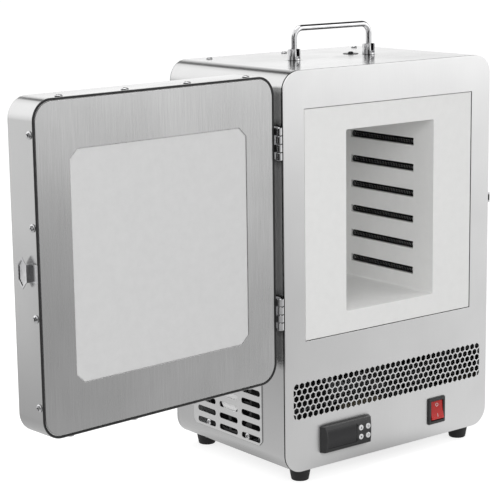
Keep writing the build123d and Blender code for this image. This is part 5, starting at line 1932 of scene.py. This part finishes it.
@dataclass
class Studio:
    """The floor, the room's light, the lamps and the camera. Places in metres, angles in degrees."""

    eye: Point = (-1.2684, -1.478, 0.6163)
    azimuth: float = -37.8525
    elevation: float = 11.2467
    roll: float = -0.7705
    lens: float = 123.278
    sensor: float = 36.0
    target: Point = (0.0, 0.0, 0.25)
    floor_reach: float = 12.0
    floor_colour: str = "#BBBBBB"
    floor_glow: float = 0.75
    room_glow: float = 0.6  # what matt surfaces get from the walls
    patches: tuple[FloorPatch, ...] = (
        FloorPatch((-1.2, -2.2, 0.0), (1.95, 0.48), (2.7, 1.0)),
        # These two are painted shadow: they stand in for the furnace's shadow on the floor, as metal sees it
        FloorPatch((-0.62, 0.25, 0.0), (0.1, 0.54), (0.85, 0.94)),
        FloorPatch((0.0, 0.0, 0.0), (0.08, 0.08), (0.22, 1.0)),
        FloorPatch((-2.0, -1.9, 0.0), (1.3, 0.04), (1.8, 1.0)),
        FloorPatch((-2.7, -0.55, 0.0), (1.6, 0.04), (2.1, 1.0)),
        FloorPatch((-3.9, -4.9, 0.0), (2.8, 0.04), (3.4, 1.0)),
        FloorPatch((-6.0, -1.3, 0.0), (3.6, 0.04), (4.2, 1.0)),
        FloorPatch((3.9, 4.9, 0.0), (2.6, 0.08), (3.4, 1.0)),
    )
    lobes: tuple[WallLobe, ...] = (
        WallLobe((0.62, 0.45, 0.65), 0.86, 0.95, 0.05),
        WallLobe((0.6, 0.0, 0.8), 0.84, 0.93, 0.05),
        WallLobe((0.285, 0.78, 0.557), 0.984, 0.995, 0.04),
        WallLobe((-0.63, -0.77, 0.1), 0.86, 0.95, 0.04),
        WallLobe((-0.9, 0.42, 0.08), 0.92, 0.98, 0.04),
        WallLobe((-0.99, -0.12, 0.08), 0.97, 0.995, 0.3),
        WallLobe((-0.45, 0.78, 0.45), 0.8, 0.95, 1.4),
    )
    softboxes: tuple[Softbox, ...] = (
        Softbox("key_softbox", (-1.6, -2.2, 1.3), 1.6, 23.0, False),
        Softbox("fill_softbox", (2.0, -2.0, 1.1), 1.6, 11.0),
        Softbox("top_softbox", (0.0, 0.3, 2.6), 1.8, 18.0),
        Softbox("back_softbox", (1.8, 2.3, 1.0), 2.4, 3.0),
        Softbox("left_back_softbox", (-1.9, 2.3, 1.3), 1.8, 16.0, False),
    )

    def build(self) -> None:
        """Builds the studio."""
        self.floor()
        self.room()
        for softbox in self.softboxes:
            self.lamp(softbox)
        self.camera()

    def floor(self) -> None:
        """A plain pale floor that keeps the soft shadow, and that metal sees darker close by."""
        data = bpy.data.meshes.new("studio_floor")
        r = self.floor_reach
        data.from_pydata([(-r, -r, 0), (r, -r, 0), (r, r, 0), (-r, r, 0)], [], [(0, 1, 2, 3)])
        piece = show("studio_floor", data)
        material = bpy.data.materials.new("pale_studio_floor")
        material.use_nodes = True
        tree = material.node_tree
        tree.nodes.clear()
        rays = add_node(tree, "ShaderNodeLightPath")
        seen_by = {0: rays.outputs["Is Camera Ray"], 1: rays.outputs["Is Transmission Ray"]}
        white = add_node(tree, "ShaderNodeMath", seen_by, operation="MAXIMUM")
        strength = {0: white.outputs[0], 1: self.floor_glow}
        glow = add_node(tree, "ShaderNodeMath", strength, operation="MULTIPLY")
        light = add_node(tree, "ShaderNodeEmission", {"Color": (1, 1, 1, 1), "Strength": glow.outputs[0]})
        matt = add_node(tree, "ShaderNodeBsdfDiffuse", {"Color": linear(self.floor_colour)})
        lit = add_node(tree, "ShaderNodeAddShader", {0: light.outputs[0], 1: matt.outputs[0]})
        place = add_node(tree, "ShaderNodeTexCoord")
        level = add_node(tree, "ShaderNodeValue")
        level.outputs[0].default_value = 1.0
        for patch in self.patches:
            (near, dim), (far, bright) = patch.core, patch.edge
            ends = {0: place.outputs["Object"], 1: patch.middle}
            away = add_node(tree, "ShaderNodeVectorMath", ends, operation="DISTANCE")
            reach = {"From Min": near, "From Max": far, "To Min": dim, "To Max": bright}
            shade = add_node(tree, "ShaderNodeMapRange", {"Value": away.outputs["Value"], **reach})
            both = {0: level.outputs[0], 1: shade.outputs[0]}
            level = add_node(tree, "ShaderNodeMath", both, operation="MINIMUM")
        seen = add_node(tree, "ShaderNodeEmission", {"Color": (1, 1, 1, 1), "Strength": level.outputs[0]})
        sides = {0: rays.outputs["Is Glossy Ray"], 1: lit.outputs[0], 2: seen.outputs[0]}
        both = add_node(tree, "ShaderNodeMixShader", sides)
        add_node(tree, "ShaderNodeOutputMaterial", {"Surface": both.outputs[0]})
        data.materials.append(material)

    def room(self) -> None:
        """White walls with the lobes that metal shows, and a plain white for the camera."""
        world = bpy.data.worlds.new("studio_room")
        world.use_nodes = True
        tree = world.node_tree
        tree.nodes.clear()
        rays = add_node(tree, "ShaderNodeLightPath")
        place = add_node(tree, "ShaderNodeTexCoord")
        bright = add_node(tree, "ShaderNodeValue")
        bright.outputs[0].default_value = 1.0
        for lobe in self.lobes:
            aim = {0: place.outputs["Generated"], 1: tuple(Vector(lobe.way).normalized())}
            near = add_node(tree, "ShaderNodeVectorMath", aim, operation="DOT_PRODUCT")
            span = {"From Min": lobe.edge, "From Max": lobe.core, "To Min": 1.0, "To Max": lobe.level}
            wall = add_node(tree, "ShaderNodeMapRange", {"Value": near.outputs["Value"], **span})
            both = {0: bright.outputs[0], 1: wall.outputs[0]}
            bright = add_node(tree, "ShaderNodeMath", both, operation="MULTIPLY")
        matt = {"Factor": rays.outputs["Is Diffuse Ray"], 2: bright.outputs[0], 3: self.room_glow}
        soft = add_node(tree, "ShaderNodeMix", matt)
        seen_by = {0: rays.outputs["Is Camera Ray"], 1: rays.outputs["Is Transmission Ray"]}
        seen = add_node(tree, "ShaderNodeMath", seen_by, operation="MAXIMUM")
        level = add_node(tree, "ShaderNodeMix", {"Factor": seen.outputs[0], 2: soft.outputs[0], 3: 1.0})
        sky = add_node(tree, "ShaderNodeBackground", {"Color": (1, 1, 1, 1), "Strength": level.outputs[0]})
        add_node(tree, "ShaderNodeOutputWorld", {"Surface": sky.outputs[0]})
        bpy.context.scene.world = world

    def lamp(self, softbox: Softbox) -> None:
        """One square lamp that faces the furnace.

        Args:
            softbox: Its size, place and power.
        """
        data = bpy.data.lights.new(softbox.name, "AREA")
        data.shape, data.size, data.energy = "SQUARE", softbox.size, softbox.power
        lamp = bpy.data.objects.new(softbox.name, data)
        lamp.location = softbox.place
        away = Vector(softbox.place) - Vector(self.target)
        lamp.rotation_euler = away.to_track_quat("Z", "Y").to_euler()
        lamp.visible_camera = False
        lamp.visible_glossy = softbox.mirrored
        bpy.context.scene.collection.objects.link(lamp)

    def camera(self) -> None:
        """The camera at the photograph's place."""
        a, e, r = (math.radians(v) for v in (self.azimuth, self.elevation, self.roll))
        back = Vector((math.sin(a) * math.cos(e), -math.cos(a) * math.cos(e), math.sin(e)))
        right = Vector((math.cos(a), math.sin(a), 0))
        up = back.cross(right)
        right, up = right * math.cos(r) + up * math.sin(r), up * math.cos(r) - right * math.sin(r)
        data = bpy.data.cameras.new("studio_camera")
        data.lens, data.sensor_width = self.lens, self.sensor
        camera = bpy.data.objects.new("studio_camera", data)
        camera.matrix_world = Matrix.Translation(self.eye) @ Matrix((right, up, back)).transposed().to_4x4()
        bpy.context.scene.collection.objects.link(camera)
        bpy.context.scene.camera = camera


def main() -> None:
    """Builds the furnace in order, and the studio round it."""
    logging.basicConfig(level=logging.INFO, format="%(message)s")
    bpy.context.scene.view_settings.view_transform = "Standard"
    finishes, fasteners = Finishes(), Fasteners()
    hinges = Hinges(finishes, fasteners)
    assemblies: list[SubAssembly] = [
        Cabinet(finishes, fasteners),
        HeatedChamber(finishes, fasteners),
        TemperatureController(finishes, fasteners),
        PowerSwitch(finishes, fasteners),
        SideVent(finishes, fasteners),
        Feet(finishes, fasteners),
        Electrics(finishes, fasteners),
        CarryHandle(finishes, fasteners),
        hinges,
        Door(finishes, fasteners, hinges=hinges),
        ToggleLatch(finishes, fasteners),
    ]
    for assembly in assemblies:
        assembly.build()
    fasteners.put_away()
    Studio().build()


if __name__ == "__main__":
    main()
